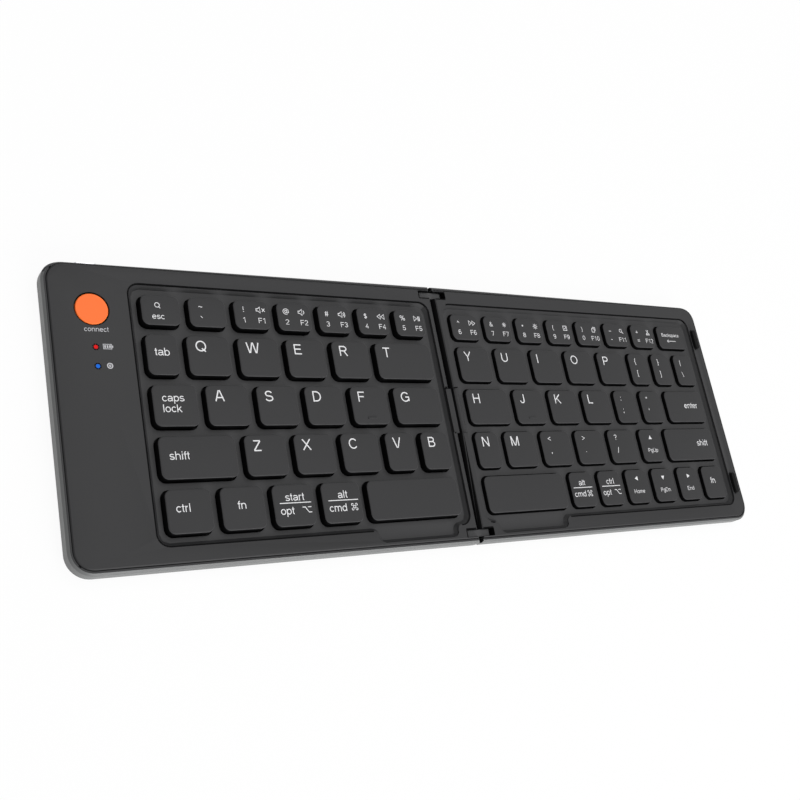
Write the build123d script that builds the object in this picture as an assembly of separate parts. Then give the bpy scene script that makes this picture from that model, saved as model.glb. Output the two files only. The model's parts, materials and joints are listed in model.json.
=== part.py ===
from build123d import *
import os
from dataclasses import dataclass
from math import asin, degrees

# Folding keyboard: two keyed halves joined by a double-pin link hinge, laid open and flat.
# Millimetres. The origin lies on the surface the keyboard stands on, on the folding line,
# midway from front to back. +X runs to the right half, +Y to the back, +Z up.

os.makedirs("parts", exist_ok=True)

# ------------------------------------------------------------------ housing
side_bezel = 7.6            # bezel between the right half's well and its outer side
back_bezel = 7.65           # bezel behind the well
front_bezel = 7.45          # bezel in front of the well
corner_radius = 8.0         # outer corners seen from above
body_height = 6.45          # underside of the bottom shell to the bezel
wall_thickness = 1.6        # side wall, whose rim frames the top cover
floor_thickness = 0.8
floor_bevel = 1.2           # lower outer edge of the bottom shell
rim_bevel = 0.8             # upper outer edge of its rim
rim_drop = 0.3              # rim below the bezel
cover_gap = 0.1             # top cover to the side wall
cover_bevel = 0.4           # outer edge of the bezel
foot_height = 0.7           # rubber foot below the shell
foot_seat = 0.2             # recess that locates a foot
foot_length = 60.0          # foot strip, along the front and back edges
foot_width = 5.0
foot_inset = 8.0            # strip's middle to the front or back

# ------------------------------------------------------------------ keyed well
deck_sink = 1.75            # deck below the bezel
deck_thickness = 1.2
well_side_margin = 2.9      # outer keys to the well's rim
well_back_margin = 3.55
well_front_margin = 2.75
well_corner = 4.0
well_bevel = 1.2            # slope at the foot of the well's wall
ridge_to_fold = 3.55        # folding line to the well's rim
apron_depth = 4.5           # thumb recess that widens the well at the front
apron_inner = 10.1          # folding line to the recess's ends
apron_outer = 45.0
apron_round = 2.1           # both bends of the recess's S-shaped ends

# ------------------------------------------------------------------ keys
letter_pitch = 19.0         # middle of one letter key to the middle of the next
row_pitch = 18.0            # the same from row to row
web = 2.2                   # deck left between two openings
key_depth = row_pitch - web
number_depth = 12.1         # opening of the number row, front to back
opening_corner = 3.0
corner_facets = 2           # straight facets that stand for each small corner's arc
key_gap = 0.55              # cap to the edge of its opening
left_keys_inner = 6.9       # folding line to the left half's last key
right_keys_inner = 6.3
left_key_rise = 2.9         # cap above the deck
right_key_rise = 1.65
key_travel = 1.3
cap_wall = 0.9
cap_roof = 1.0
homing_bar_length = 4.0
homing_bar_width = 0.6
homing_bar_height = 0.3
homing_bar_from_front = 3.0

number_pitch = 0.8974 * letter_pitch
number_keys = 7             # standard keys of the number row on each half
backspace_width = 1.0184 * letter_pitch
upper_letter_pitch = 1.0105 * letter_pitch
tab_pitch = 0.7658 * letter_pitch
bracket_pitch = 0.7763 * letter_pitch
narrow_pitch = 0.8447 * letter_pitch
shift_pitch = 1.6053 * letter_pitch
home_row_pitch = 1.2684 * letter_pitch
lower_row_pitch = 0.7684 * letter_pitch
space_pitch = 2.3158 * letter_pitch
left_keys_width = number_keys * number_pitch - web
right_keys_width = number_keys * number_pitch + backspace_width

# ------------------------------------------------------------------ under the keys
press_clearance = 0.1       # skirt above the dome sheet with the key fully down
plate_lift = 0.4            # support plate above the shell's floor
plate_thickness = 0.4
plate_margin = 1.0          # plate past the openings
membrane_thickness = 0.2
sheet_thickness = 0.2
dome_radius = 2.7
dome_sides = 4
dome_taper = 16
dome_gap = 0.05
scissor_end_gap = 0.5       # link to the walls of the narrowest cap
scissor_side_gap = 0.6      # link to the front and back walls of the shallowest cap
scissor_bar = 0.8
scissor_thickness = 0.6
scissor_gap = 0.15          # links to the dome sheet and the cap
rib_width = 3.0
rib_pitch = 30.0

# ------------------------------------------------------------------ hinge
flank_clearance = 0.1       # folding edge to the folding line at the height of the pins
closing_clearance = 0.15    # keys to the other half's bezel when folded shut
pin_radius = 0.7
pin_running_gap = 0.05
pin_grip = 1.7              # pin in the housing on the inner side of its link
link_thickness = 2.6
link_height = 3.4
link_end = 1.7              # link past the centre of its pin
link_round = 0.9
link_side_gap = 0.15
link_from_edge = 2.45       # outer face of a link to the front or back of the keyboard
slot_end_gap = 1.2          # slot past the end of the link
slot_floor_gap = 0.6
hinge_bar_width = 5.0       # full-height bar along the folding edge
hinge_boss_length = 9.0     # block that carries the link's pins
knuckle_length = 18.3
knuckle_reach = 1.1         # past the folding line
knuckle_half_height = 1.7
knuckle_end_gap = 0.2
knuckle_swing_gap = 0.4     # room under the knuckle as it swings
knuckle_ledge = 2.7         # folding line to the step behind the knuckle
hub_gap = 0.1
cable_width = 11.0
cable_thickness = 0.2
cable_channel_gap = 0.4
cable_reach = 6.2           # folding line to the end of the flat cable

# ------------------------------------------------------------------ control strip, left half
strip_wall = 1.0            # skin over the electronics
strip_pocket_margin = 2.0   # pocket to the well's rim, to the magnet and to the cover's edge
button_radius = 5.5
button_gap = 0.3
button_from_side = 15.5     # centre of the button to the outer side
button_from_back = 17.6     # and to the back
button_travel = 0.4
button_tab = 0.9            # retaining bar past the button, under the bezel
button_tab_width = 4.0
button_tab_height = 0.6
button_stem_side = 2.5
button_proud = 0.1
light_radius = 0.75
light_sides = 8
light_from_button = 13.4    # first light in front of the button's centre
light_pitch = 6.7
board_width = 18.0
board_past_light = 2.5      # second light to the board's front edge
board_thickness = 0.8
board_lift = 0.8
board_post = 2.0
switch_side = 6.0
switch_height = 1.3
switch_gap = 0.05           # button's stem, pressed, to the switch's plunger
battery_gap = 0.95          # to the side walls of its pocket
battery_to_board = 2.3
battery_height = 3.6
battery_from_front = 7.0
socket_width = 7.8
socket_height = 2.8
socket_depth = 5.6
socket_wall = 0.35
socket_recess = 0.4
socket_gap = 0.1
tongue_width = 4.4
tongue_thickness = 0.6
tongue_recess = 1.4         # tongue's end behind the socket's mouth

# ------------------------------------------------------------------ closing
bumper_width = 2.2
bumper_length = 9.4
bumper_round = 0.95
bumper_from_side = 5.1      # centre of a bumper to the outer side
bumper_from_back = 17.8     # centre of the rear bumper to the back
bumper_from_front = 17.1
bumper_gap = 0.05           # to the other half's bezel when folded shut
bumper_seat = 0.6
magnet_width = 3.0
magnet_length = 20.0
magnet_height = 1.8
magnet_gap = 0.05

# ------------------------------------------------------------------ levels and places worked out
half_width = right_keys_inner + right_keys_width + well_side_margin + side_bezel
well_depth = well_front_margin + 4 * row_pitch + number_depth + well_back_margin
depth = front_bezel + well_depth + back_bezel
shell_bottom = foot_height
floor_top = shell_bottom + floor_thickness
bezel_top = shell_bottom + body_height
deck_top = bezel_top - deck_sink
deck_under = deck_top - deck_thickness
rim_top = bezel_top - rim_drop
closed_gap = (
    max(left_key_rise - deck_sink, 0) + max(right_key_rise - deck_sink, 0) + closing_clearance
)
pin_offset = (body_height + flank_clearance + closed_gap / 2) / 2
flank_radius = pin_offset - flank_clearance
pin_level = shell_bottom + flank_radius
cover_inset = wall_thickness + cover_gap
knuckle_radius = pin_offset + knuckle_reach
hub_radius = 2 * pin_offset - knuckle_radius - hub_gap
plate_bottom = floor_top + plate_lift
plate_top = plate_bottom + plate_thickness
membrane_top = plate_top + membrane_thickness
sheet_top = membrane_top + sheet_thickness
cap_bottom = sheet_top + press_clearance + key_travel
left_well_outer = left_keys_inner + left_keys_width + well_side_margin
right_well_outer = right_keys_inner + right_keys_width + well_side_margin
well_back = depth / 2 - back_bezel
well_front = well_back - well_depth
keys_back = well_back - well_back_margin
keys_front = well_front + well_front_margin
first_row_front = keys_back - number_depth
link_centre = depth / 2 - link_from_edge - link_thickness / 2
slot_end = pin_offset + link_end + slot_end_gap
slot_floor = pin_level - link_height / 2 - slot_floor_gap
button_x = -(half_width - button_from_side)
button_y = depth / 2 - button_from_back
light_y = button_y - light_from_button, button_y - light_from_button - light_pitch
pocket_ceiling = bezel_top - strip_wall
board_bottom = floor_top + board_lift
board_top = board_bottom + board_thickness
board_front = light_y[1] - board_past_light
board_back = depth / 2 - wall_thickness - socket_recess


# ------------------------------------------------------------------ key layout
@dataclass(frozen=True)
class Key:
    """One key: the node its cap belongs to, and its opening in the deck."""

    node: str
    left: float
    right: float
    front: float
    back: float

    @property
    def centre(self):
        return (self.left + self.right) / 2, (self.front + self.back) / 2

    @property
    def size(self):
        return self.right - self.left, self.back - self.front


def lay_row(row, start, width, keys):
    """Places one row's keys from left to right. The last key fills what is left."""
    front = first_row_front - row * row_pitch
    back = front + (key_depth if row else number_depth)
    placed, left = [], start
    for number, (node, pitch) in enumerate(keys):
        last = number == len(keys) - 1
        right = start + width if last else left + pitch - web
        placed.append(Key(node, left, right, front, back))
        left = right + web
    return placed


left_rows = [
    [("esc_key", number_pitch)] + [("number_keys_left", number_pitch)] * (number_keys - 1),
    [("tab_key", tab_pitch)] + [("qwer_keys", letter_pitch)] * 4 + [("t_key", None)],
    [("caps_lock_key", letter_pitch)]
    + [("asd_keys", letter_pitch)] * 3
    + [("f_key", letter_pitch), ("g_key", None)],
    [("left_shift_key", shift_pitch)]
    + [("zxc_keys", letter_pitch)] * 3
    + [("v_key", narrow_pitch), ("b_key", None)],
    [("left_modifier_keys", letter_pitch)] * 4 + [("left_space_key", None)],
]
right_rows = [
    [("number_keys_right", number_pitch)] * number_keys + [("backspace_key", None)],
    [("yuiop_keys", upper_letter_pitch)] * 5
    + [("bracket_keys", bracket_pitch)] * 2
    + [("bracket_keys", None)],
    [("h_key", home_row_pitch), ("j_key", letter_pitch)]
    + [("kl_keys", letter_pitch)] * 2
    + [("punctuation_keys", narrow_pitch)] * 2
    + [("enter_key", None)],
    [("n_key", lower_row_pitch)]
    + [("m_comma_keys", letter_pitch)] * 4
    + [("up_key", narrow_pitch), ("right_shift_key", None)],
    [("right_space_key", space_pitch)]
    + [("right_modifier_keys", narrow_pitch)] * 2
    + [("navigation_keys", narrow_pitch)] * 3
    + [("right_fn_key", None)],
]


def lay_half(rows, start, width):
    """All the keys of one half."""
    return [key for row, keys in enumerate(rows) for key in lay_row(row, start, width, keys)]


left_keys = lay_half(left_rows, -left_keys_inner - left_keys_width, left_keys_width)
right_keys = lay_half(right_rows, right_keys_inner, right_keys_width)


# ------------------------------------------------------------------ small helpers
def block(x, y, z):
    """A box from three (low, high) pairs."""
    centre = Pos((x[0] + x[1]) / 2, (y[0] + y[1]) / 2, (z[0] + z[1]) / 2)
    return centre * Box(x[1] - x[0], y[1] - y[0], z[1] - z[0])


def faceted_rectangle(width, length, radius):
    """Rectangle whose corners follow arcs of this radius in a few straight facets."""
    points = []
    for quarter, (x_sign, y_sign) in enumerate(((1, 1), (-1, 1), (-1, -1), (1, -1))):
        centre = Vector(x_sign * (width / 2 - radius), y_sign * (length / 2 - radius))
        for step in range(corner_facets + 1):
            turn = 90 * (quarter + step / corner_facets)
            points.append(centre + Vector(radius, 0).rotate(Axis.Z, turn))
    return make_face(Polyline(*points, close=True))


def rod_along_y(x, z, radius, y_low, y_high):
    """A round bar that runs front to back."""
    return Pos(x, (y_low + y_high) / 2, z) * Rot(90, 0, 0) * Cylinder(radius, y_high - y_low)


def mirrored(part):
    """The same part on the other side of the folding line."""
    return mirror(part, about=Plane.YZ)


def write(node, shape):
    """Saves one node, with each of its pieces as a solid."""
    solids = shape.solids()
    export_step(solids[0] if len(solids) == 1 else Compound(children=list(solids)),
                f"parts/{node}.step")


# ------------------------------------------------------------------ forms shared by both halves
def half_block(inset, z_low, z_high, low_bevel=0, top_bevel=0):
    """Right half's plan, drawn in by inset, with the rounded folding edge."""
    width = half_width - inset
    plan = Pos(width / 2, 0) * Rectangle(width, depth - 2 * inset)
    outer = [v for v in plan.vertices() if v.X > width / 2]
    plan = fillet(outer, corner_radius - inset)
    slab = extrude(Pos(0, 0, z_low) * plan, z_high - z_low)
    for end, length in ((0, low_bevel), (-1, top_bevel)):
        ring = slab.edges().group_by(Axis.Z)[end]
        if length:
            slab = chamfer([edge for edge in ring if edge.center().X > 1], length)
    beyond_pin = block(
        (pin_offset, half_width + 1), (-depth, depth), (shell_bottom - 1, bezel_top + 1)
    )
    flank = rod_along_y(pin_offset, pin_level, flank_radius, -depth, depth)
    return slab & (beyond_pin + flank)


def well_cutter(outer):
    """The sunk keyed area, right-handed, with its thumb recess and sloped foot."""
    middle = Pos((ridge_to_fold + outer) / 2, (well_back + well_front) / 2)
    main = middle * faceted_rectangle(
        outer - ridge_to_fold, well_back - well_front, well_corner
    )
    apron = Pos((apron_inner + apron_outer) / 2, well_front) * Rectangle(
        apron_outer - apron_inner, 2 * apron_depth
    )
    plan = main + apron
    ends = [
        v for v in plan.vertices() if min(abs(v.X - apron_inner), abs(v.X - apron_outer)) < 0.01
    ]
    plan = fillet(ends, apron_round)
    cutter = extrude(Pos(0, 0, deck_top) * plan, bezel_top + 1 - deck_top)
    foot = cutter.edges().group_by(Axis.Z)[0]
    return chamfer(foot, well_bevel)


def openings_cutter(keys):
    """The rounded opening of each key, through the deck."""
    cutter = Sketch()
    for key in keys:
        cutter += Pos(*key.centre) * faceted_rectangle(*key.size, opening_corner)
    return extrude(Pos(0, 0, deck_top) * cutter, deck_thickness, both=True)


def top_cover(well_outer):
    """Bezel, sunk deck and hinge bar of one half in one moulding, right-handed."""
    cover = half_block(cover_inset, deck_under, bezel_top, top_bevel=cover_bevel)
    y_edge = depth / 2 - cover_inset
    lower = half_block(cover_inset, shell_bottom, deck_under)
    cover += lower & block((0, hinge_bar_width), (-y_edge, y_edge), (0, bezel_top))
    for side in (-1, 1):
        y = sorted((side * y_edge, side * (y_edge - (depth / 2 - cover_inset - well_back))))
        cover += lower & block((0, hinge_boss_length), y, (0, bezel_top))
    cover -= well_cutter(well_outer)
    for side in (-1, 1):
        cover -= link_slot(side)
        cover -= pin_bore(side)
    return cover


def link_slot(side):
    """Pocket in the folding edge for one link, right-handed."""
    reach = link_thickness / 2 + link_side_gap
    y = side * link_centre
    return block((-1, slot_end), (y - reach, y + reach), (slot_floor, bezel_top + 1))


def pin_span(side):
    """Where the pins of the rear (+1) or front (-1) link start and end along Y."""
    inner = link_centre - link_thickness / 2 - pin_grip
    outer = depth / 2 - cover_inset - cover_gap
    return sorted((side * inner, side * outer))


def pin_bore(side):
    """Hole in the housing that a pin turns in, right-handed."""
    low, high = pin_span(side)
    return rod_along_y(
        pin_offset, pin_level, pin_radius + pin_running_gap, low - cover_gap, high + cover_gap
    )


def bottom_shell():
    """Tray of one half, right-handed: floor, side wall and plate ribs."""
    outer = half_block(0, shell_bottom, rim_top, low_bevel=floor_bevel, top_bevel=rim_bevel)
    y_edge = depth / 2 - wall_thickness
    plan = Pos((half_width - wall_thickness) / 2, 0) * Rectangle(
        half_width - wall_thickness, 2 * y_edge
    )
    far = [v for v in plan.vertices() if v.X > half_width / 2]
    plan = fillet(far, corner_radius - wall_thickness)
    cavity = extrude(Pos(0, 0, floor_top) * plan, body_height)
    bar = block(
        (-1, hinge_bar_width + cover_gap), (-y_edge, y_edge), (shell_bottom - 1, bezel_top)
    )
    tray = outer - cavity - bar
    for side in (-1, 1):
        boss_y = sorted((side * y_edge, side * (well_back - cover_gap)))
        tray -= block(
            (-1, hinge_boss_length + cover_gap), boss_y, (shell_bottom - 1, bezel_top)
        )
    return tray


def foot_strips(z_low, z_high):
    """Rubber strips under one half, or the recesses that hold them, right-handed."""
    middle = half_width / 2
    group = Part()
    for y in (foot_inset - depth / 2, depth / 2 - foot_inset):
        group += block(
            (middle - foot_length / 2, middle + foot_length / 2),
            (y - foot_width / 2, y + foot_width / 2), (z_low, z_high),
        )
    return group


# ------------------------------------------------------------------ keyed halves
def key_block(keys, margin):
    """Plan rectangle (x low, x high, y low, y high) round a half's openings."""
    return (
        min(key.left for key in keys) - margin,
        max(key.right for key in keys) + margin,
        keys_front - margin,
        keys_back + margin,
    )


def plate(keys):
    """Steel plate that carries the keys."""
    x_low, x_high, y_low, y_high = key_block(keys, plate_margin)
    return block((x_low, x_high), (y_low, y_high), (plate_bottom, plate_top))


def membrane(keys):
    """Printed contact sheet on the plate."""
    x_low, x_high, y_low, y_high = key_block(keys, plate_margin / 2)
    return block((x_low, x_high), (y_low, y_high), (plate_top, membrane_top))


def dome_sheet(keys, roof):
    """Rubber sheet with one collapsing dome under each cap."""
    x_low, x_high, y_low, y_high = key_block(keys, plate_margin / 2)
    sheet = block((x_low, x_high), (y_low, y_high), (membrane_top, sheet_top))
    base = RegularPolygon(dome_radius, dome_sides)
    dome = extrude(base, roof - dome_gap - sheet_top, taper=dome_taper)
    return sheet + [Pos(*key.centre, sheet_top) * dome for key in keys]


def scissor_pairs(keys, roof):
    """The two crossed links that keep each cap level, one on each side of its dome."""
    narrowest = min(key.size[0] for key in left_keys + right_keys)
    length = narrowest - 2 * (key_gap + cap_wall + scissor_end_gap)
    spread = number_depth / 2 - key_gap - cap_wall - scissor_side_gap - scissor_bar / 2
    rise = roof - sheet_top - 2 * scissor_gap - scissor_thickness
    angle = degrees(asin(rise / length))
    link = Box(length, scissor_bar, scissor_thickness)
    middle = (roof + sheet_top) / 2
    group = [
        Pos(*key.centre, middle) * Pos(0, side * spread, 0) * Rot(0, side * angle, 0) * link
        for key in keys
        for side in (-1, 1)
    ]
    return Compound(children=[bar.solid() for bar in group])


def cap(key, top):
    """Hollow key cap, with a homing bar on the two keys that have one."""
    width, length = (side - 2 * key_gap for side in key.size)
    outside = faceted_rectangle(width, length, opening_corner - key_gap)
    inside = Rectangle(width - 2 * cap_wall, length - 2 * cap_wall)
    shell = extrude(outside, top - cap_bottom)
    shell -= extrude(inside, top - cap_bottom - cap_roof)
    piece = Pos(*key.centre, cap_bottom) * shell
    if key.node in ("f_key", "j_key"):
        x, y = key.centre[0], key.front + homing_bar_from_front
        half = homing_bar_length / 2, homing_bar_width / 2
        piece += block(
            (x - half[0], x + half[0]), (y - half[1], y + half[1]),
            (top - cap_roof / 2, top + homing_bar_height),
        )
    return piece


def write_caps(keys, rise):
    """Saves the caps, those of one node together."""
    groups = {}
    for key in keys:
        groups.setdefault(key.node, []).append(cap(key, deck_top + rise))
    for node, caps in groups.items():
        write(node, Compound(children=[piece.solid() for piece in caps]))


def plate_ribs(keys):
    """Ribs of a bottom shell that hold the plate up."""
    x_low, x_high, y_low, y_high = key_block(keys, 0)
    count = int((y_high - y_low - rib_width) // rib_pitch) + 1
    first = (y_low + y_high - (count - 1) * rib_pitch) / 2
    ribs = Part()
    for number in range(count):
        y = first + number * rib_pitch
        ribs += block(
            (x_low, x_high), (y - rib_width / 2, y + rib_width / 2), (floor_top, plate_bottom)
        )
    return ribs


# ------------------------------------------------------------------ hinge
def knuckle():
    """Fixed middle knuckle of the left half, drawn right-handed."""
    half = knuckle_length / 2
    body = rod_along_y(pin_offset, pin_level, knuckle_radius, -half, half)
    band = block(
        (pin_offset - knuckle_radius, hinge_bar_width - 1), (-half, half),
        (pin_level - knuckle_half_height, pin_level + knuckle_half_height),
    )
    return body & band


def knuckle_ledge_cutter():
    """Step above the knuckle, so that its top shows."""
    half = knuckle_length / 2
    return block(
        (-knuckle_reach - 1, knuckle_ledge), (-half, half),
        (pin_level + knuckle_half_height, bezel_top + 1),
    )


def knuckle_notch():
    """Room in the right half for the left half's knuckle, round a slimmer hub."""
    half = knuckle_length / 2 + knuckle_end_gap
    room = block(
        (-knuckle_reach - 1, pin_offset + knuckle_half_height + knuckle_end_gap), (-half, half),
        (pin_level - knuckle_half_height - knuckle_swing_gap, bezel_top + 1),
    )
    return room - rod_along_y(pin_offset, pin_level, hub_radius, -half, half)


def cable_channel():
    """Passage for the flat cable through a hinge bar."""
    half = cable_width / 2 + cable_channel_gap
    height = cable_thickness / 2 + cable_channel_gap
    return block(
        (-knuckle_reach - 1, cable_reach + cable_channel_gap), (-half, half),
        (pin_level - height, pin_level + height),
    )


def hinge_link(side):
    """Link plate that joins the halves at the rear (+1) or front (-1)."""
    plan = faceted_rectangle(2 * (pin_offset + link_end), link_height, link_round)
    bar = extrude(Plane.XZ * plan, link_thickness / 2, both=True)
    bar = Pos(0, side * link_centre, pin_level) * bar
    low, high = pin_span(side)
    for x in (-pin_offset, pin_offset):
        bar -= rod_along_y(x, pin_level, pin_radius, low, high)
    return bar


def hinge_pins():
    """The four steel pins."""
    group = [
        rod_along_y(x, pin_level, pin_radius, *pin_span(side))
        for side in (-1, 1)
        for x in (-pin_offset, pin_offset)
    ]
    return Compound(children=[pin.solid() for pin in group])


# ------------------------------------------------------------------ control strip
def strip_pocket_sides(well_outer):
    """Where the hollow under the left strip starts and ends along X."""
    outer = half_width - bumper_from_side - magnet_width / 2 - strip_pocket_margin
    return -outer, -well_outer - strip_pocket_margin


def strip_pocket(well_outer):
    """Hollow under the left strip for the board and the battery, in place."""
    reach = depth / 2 - cover_inset - strip_pocket_margin
    return block(
        strip_pocket_sides(well_outer), (-reach, reach), (deck_under - deck_thickness, pocket_ceiling)
    )


def light_places():
    """Centres of the two lights."""
    return {"charge_light": (button_x, light_y[0]), "pairing_light": (button_x, light_y[1])}


def connect_button():
    """Round push button with a stem and with a bar below that keeps it in."""
    top = bezel_top + button_proud
    tab_top = pocket_ceiling - cover_gap / 2
    tab_bottom = tab_top - button_tab_height
    head = Pos(0, 0, (top + tab_top) / 2) * Cylinder(button_radius, top - tab_top)
    head = chamfer(head.edges().group_by(Axis.Z)[-1], cover_bevel / 2)
    reach, half_tab, half_stem = button_radius + button_tab, button_tab_width / 2, button_stem_side / 2
    tab = block((-reach, reach), (-half_tab, half_tab), (tab_bottom, tab_top))
    stem_bottom = board_top + switch_height + switch_gap + button_travel
    stem = block((-half_stem, half_stem), (-half_stem, half_stem), (stem_bottom, tab_bottom))
    return Pos(button_x, button_y) * (head + tab + stem)


def board_span():
    """Plan of the circuit board (x pair, y pair)."""
    half = board_width / 2
    return (button_x - half, button_x + half), (board_front, board_back)


def circuit_board():
    """Control board under the button and the lights."""
    x, y = board_span()
    return block(x, y, (board_bottom, board_top))


def board_posts():
    """Posts of the left bottom shell that hold the board up."""
    (x_low, x_high), (y_low, y_high) = board_span()
    posts = Part()
    for x in (x_low, x_high - board_post):
        for y in (y_low, y_high - board_post):
            posts += block((x, x + board_post), (y, y + board_post), (floor_top, board_bottom))
    return posts


def switch():
    """Push switch on the board, under the button's stem."""
    half = switch_side / 2
    return block(
        (button_x - half, button_x + half), (button_y - half, button_y + half),
        (board_top, board_top + switch_height),
    )


def light_pipe(place):
    """Clear pipe from the board to the bezel."""
    return extrude(Pos(*place, board_top) * RegularPolygon(light_radius, light_sides),
                   bezel_top - board_top)


def battery():
    """Flat rechargeable cell on the left shell's floor."""
    outer, inner = strip_pocket_sides(left_well_outer)
    cell = block(
        (outer + battery_gap, inner - battery_gap),
        (battery_from_front - depth / 2, board_front - battery_to_board),
        (floor_top, floor_top + battery_height),
    )
    return chamfer(cell.edges().filter_by(Axis.Y), battery_height / 6)


def socket_body(gap, past_mouth):
    """Outer form of the charging socket, grown by gap and drawn out past its mouth."""
    back = depth / 2 - socket_recess
    plan = faceted_rectangle(
        socket_width + 2 * gap, socket_height + 2 * gap, socket_height / 3
    )
    body = extrude(Plane.XZ * plan, -(socket_depth + past_mouth))
    return Pos(button_x, back - socket_depth, board_top + socket_height / 2) * body


def charging_socket():
    """Metal charging socket with its contact tongue, open to the back."""
    inside = faceted_rectangle(
        socket_width - 2 * socket_wall, socket_height - 2 * socket_wall, socket_height / 4
    )
    back = depth / 2 - socket_recess
    hollow = Pos(
        button_x, back - socket_depth + socket_wall, board_top + socket_height / 2
    ) * extrude(Plane.XZ * inside, -socket_depth)
    tongue = block(
        (button_x - tongue_width / 2, button_x + tongue_width / 2),
        (back - socket_depth, back - tongue_recess),
        (board_top + socket_height / 2 - tongue_thickness / 2,
         board_top + socket_height / 2 + tongue_thickness / 2),
    )
    return socket_body(0, 0) - hollow + tongue


# ------------------------------------------------------------------ closing parts
def bumper_places():
    """Centres of the bumpers on the right bezel."""
    x = half_width - bumper_from_side
    return [(x, depth / 2 - bumper_from_back), (x, -depth / 2 + bumper_from_front)]


def bumpers(bottom, top):
    """Rubber bumpers, or the seats that hold them."""
    group = Part()
    for x, y in bumper_places():
        plan = faceted_rectangle(bumper_width, bumper_length, bumper_round)
        group += extrude(Pos(x, y, bottom) * plan, top - bottom)
    return group


def magnet(gap):
    """Bar magnet under the bezel, right-handed, or with a gap its pocket."""
    x, half = half_width - bumper_from_side, magnet_width / 2 + gap
    return block(
        (x - half, x + half), (-magnet_length / 2 - gap, magnet_length / 2 + gap),
        (deck_under, deck_under + magnet_height + gap),
    )


# ------------------------------------------------------------------ build and save
foot_top = shell_bottom + foot_seat
shell = bottom_shell() - foot_strips(shell_bottom - 1, foot_top)

right_shell = shell + plate_ribs(right_keys)
left_shell = mirrored(shell) + plate_ribs(left_keys) + board_posts()
left_shell -= socket_body(socket_gap, wall_thickness)
write("right_bottom_shell", right_shell)
write("left_bottom_shell", left_shell)
write("right_feet", foot_strips(0, foot_top))
write("left_feet", mirrored(foot_strips(0, foot_top)))

right_cover = top_cover(right_well_outer) - knuckle_notch() - cable_channel()
right_cover -= openings_cutter(right_keys)
right_cover -= bumpers(bezel_top - bumper_seat, bezel_top + 1)
right_cover -= magnet(magnet_gap)
write("right_top_cover", right_cover)

left_cover = top_cover(left_well_outer) - knuckle_ledge_cutter() + knuckle()
left_cover = mirrored(left_cover - cable_channel() - magnet(magnet_gap))
left_cover -= openings_cutter(left_keys)
left_cover -= strip_pocket(left_well_outer)
left_cover -= Pos(button_x, button_y, bezel_top) * Cylinder(
    button_radius + button_gap, 4 * strip_wall
)
left_cover -= socket_body(socket_gap, wall_thickness)
for light_place in light_places().values():
    left_cover -= light_pipe(light_place)
write("left_top_cover", left_cover)

write("rear_hinge_link", hinge_link(1))
write("front_hinge_link", hinge_link(-1))
write("hinge_pins", hinge_pins())
write("flex_cable", block(
    (-cable_reach, cable_reach), (-cable_width / 2, cable_width / 2),
    (pin_level - cable_thickness / 2, pin_level + cable_thickness / 2),
))

for half_name, half_keys, rise in (
    ("left", left_keys, left_key_rise),
    ("right", right_keys, right_key_rise),
):
    write(f"{half_name}_key_plate", plate(half_keys))
    write(f"{half_name}_membrane", membrane(half_keys))
    cap_ceiling = deck_top + rise - cap_roof
    write(f"{half_name}_dome_sheet", dome_sheet(half_keys, cap_ceiling))
    write(f"{half_name}_scissor_links", scissor_pairs(half_keys, cap_ceiling))
    write_caps(half_keys, rise)

write("connect_button", connect_button())
write("connect_switch", switch())
write("circuit_board", circuit_board())
write("battery_cell", battery())
write("charging_socket", charging_socket())
for light_name, light_place in light_places().items():
    write(light_name, light_pipe(light_place))

write("closing_bumpers", bumpers(bezel_top - bumper_seat, bezel_top + closed_gap - bumper_gap))
write("right_closing_magnet", magnet(0))
write("left_closing_magnet", mirrored(magnet(0)))
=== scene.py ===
"""Looks of the folding keyboard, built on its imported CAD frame.

Lengths are metres, colours in the tables are sRGB, and places are worked out from the frame.
"""

from __future__ import annotations

import json
import logging
import math
from dataclasses import dataclass, field
from enum import Enum
from typing import Iterable, Sequence

import bmesh
import bpy
from mathutils import Matrix, Vector

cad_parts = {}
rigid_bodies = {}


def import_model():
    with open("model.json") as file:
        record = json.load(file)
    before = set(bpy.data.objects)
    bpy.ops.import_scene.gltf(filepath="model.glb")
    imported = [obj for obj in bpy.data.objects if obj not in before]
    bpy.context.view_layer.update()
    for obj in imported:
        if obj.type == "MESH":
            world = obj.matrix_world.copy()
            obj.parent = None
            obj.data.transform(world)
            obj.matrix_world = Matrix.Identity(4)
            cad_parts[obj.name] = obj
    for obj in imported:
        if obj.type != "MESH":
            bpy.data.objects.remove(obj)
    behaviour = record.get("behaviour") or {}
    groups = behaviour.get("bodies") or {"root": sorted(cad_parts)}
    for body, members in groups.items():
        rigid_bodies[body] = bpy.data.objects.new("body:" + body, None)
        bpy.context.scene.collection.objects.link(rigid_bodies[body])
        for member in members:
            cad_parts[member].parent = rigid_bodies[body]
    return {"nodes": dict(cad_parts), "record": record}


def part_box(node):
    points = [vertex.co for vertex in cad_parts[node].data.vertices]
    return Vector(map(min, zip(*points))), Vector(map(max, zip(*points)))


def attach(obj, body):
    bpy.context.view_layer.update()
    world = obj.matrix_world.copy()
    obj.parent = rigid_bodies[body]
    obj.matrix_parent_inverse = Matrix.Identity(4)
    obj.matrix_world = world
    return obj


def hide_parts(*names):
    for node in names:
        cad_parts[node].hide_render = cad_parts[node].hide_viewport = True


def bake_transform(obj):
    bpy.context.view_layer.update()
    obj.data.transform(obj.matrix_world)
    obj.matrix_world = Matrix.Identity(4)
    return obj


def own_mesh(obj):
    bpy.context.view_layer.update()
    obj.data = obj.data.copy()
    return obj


LOG = logging.getLogger("keyboard")
MM = 0.001
HOMING_KEYS = ("f_key", "j_key")
HOMING_BAR = 0.3 * MM  # height of the raised bar on them
EDGE = "edge"  # attribute that is 1 on the narrow faces of rounded edges
Point = tuple[float, float]
Loop = list[Point]


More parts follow.
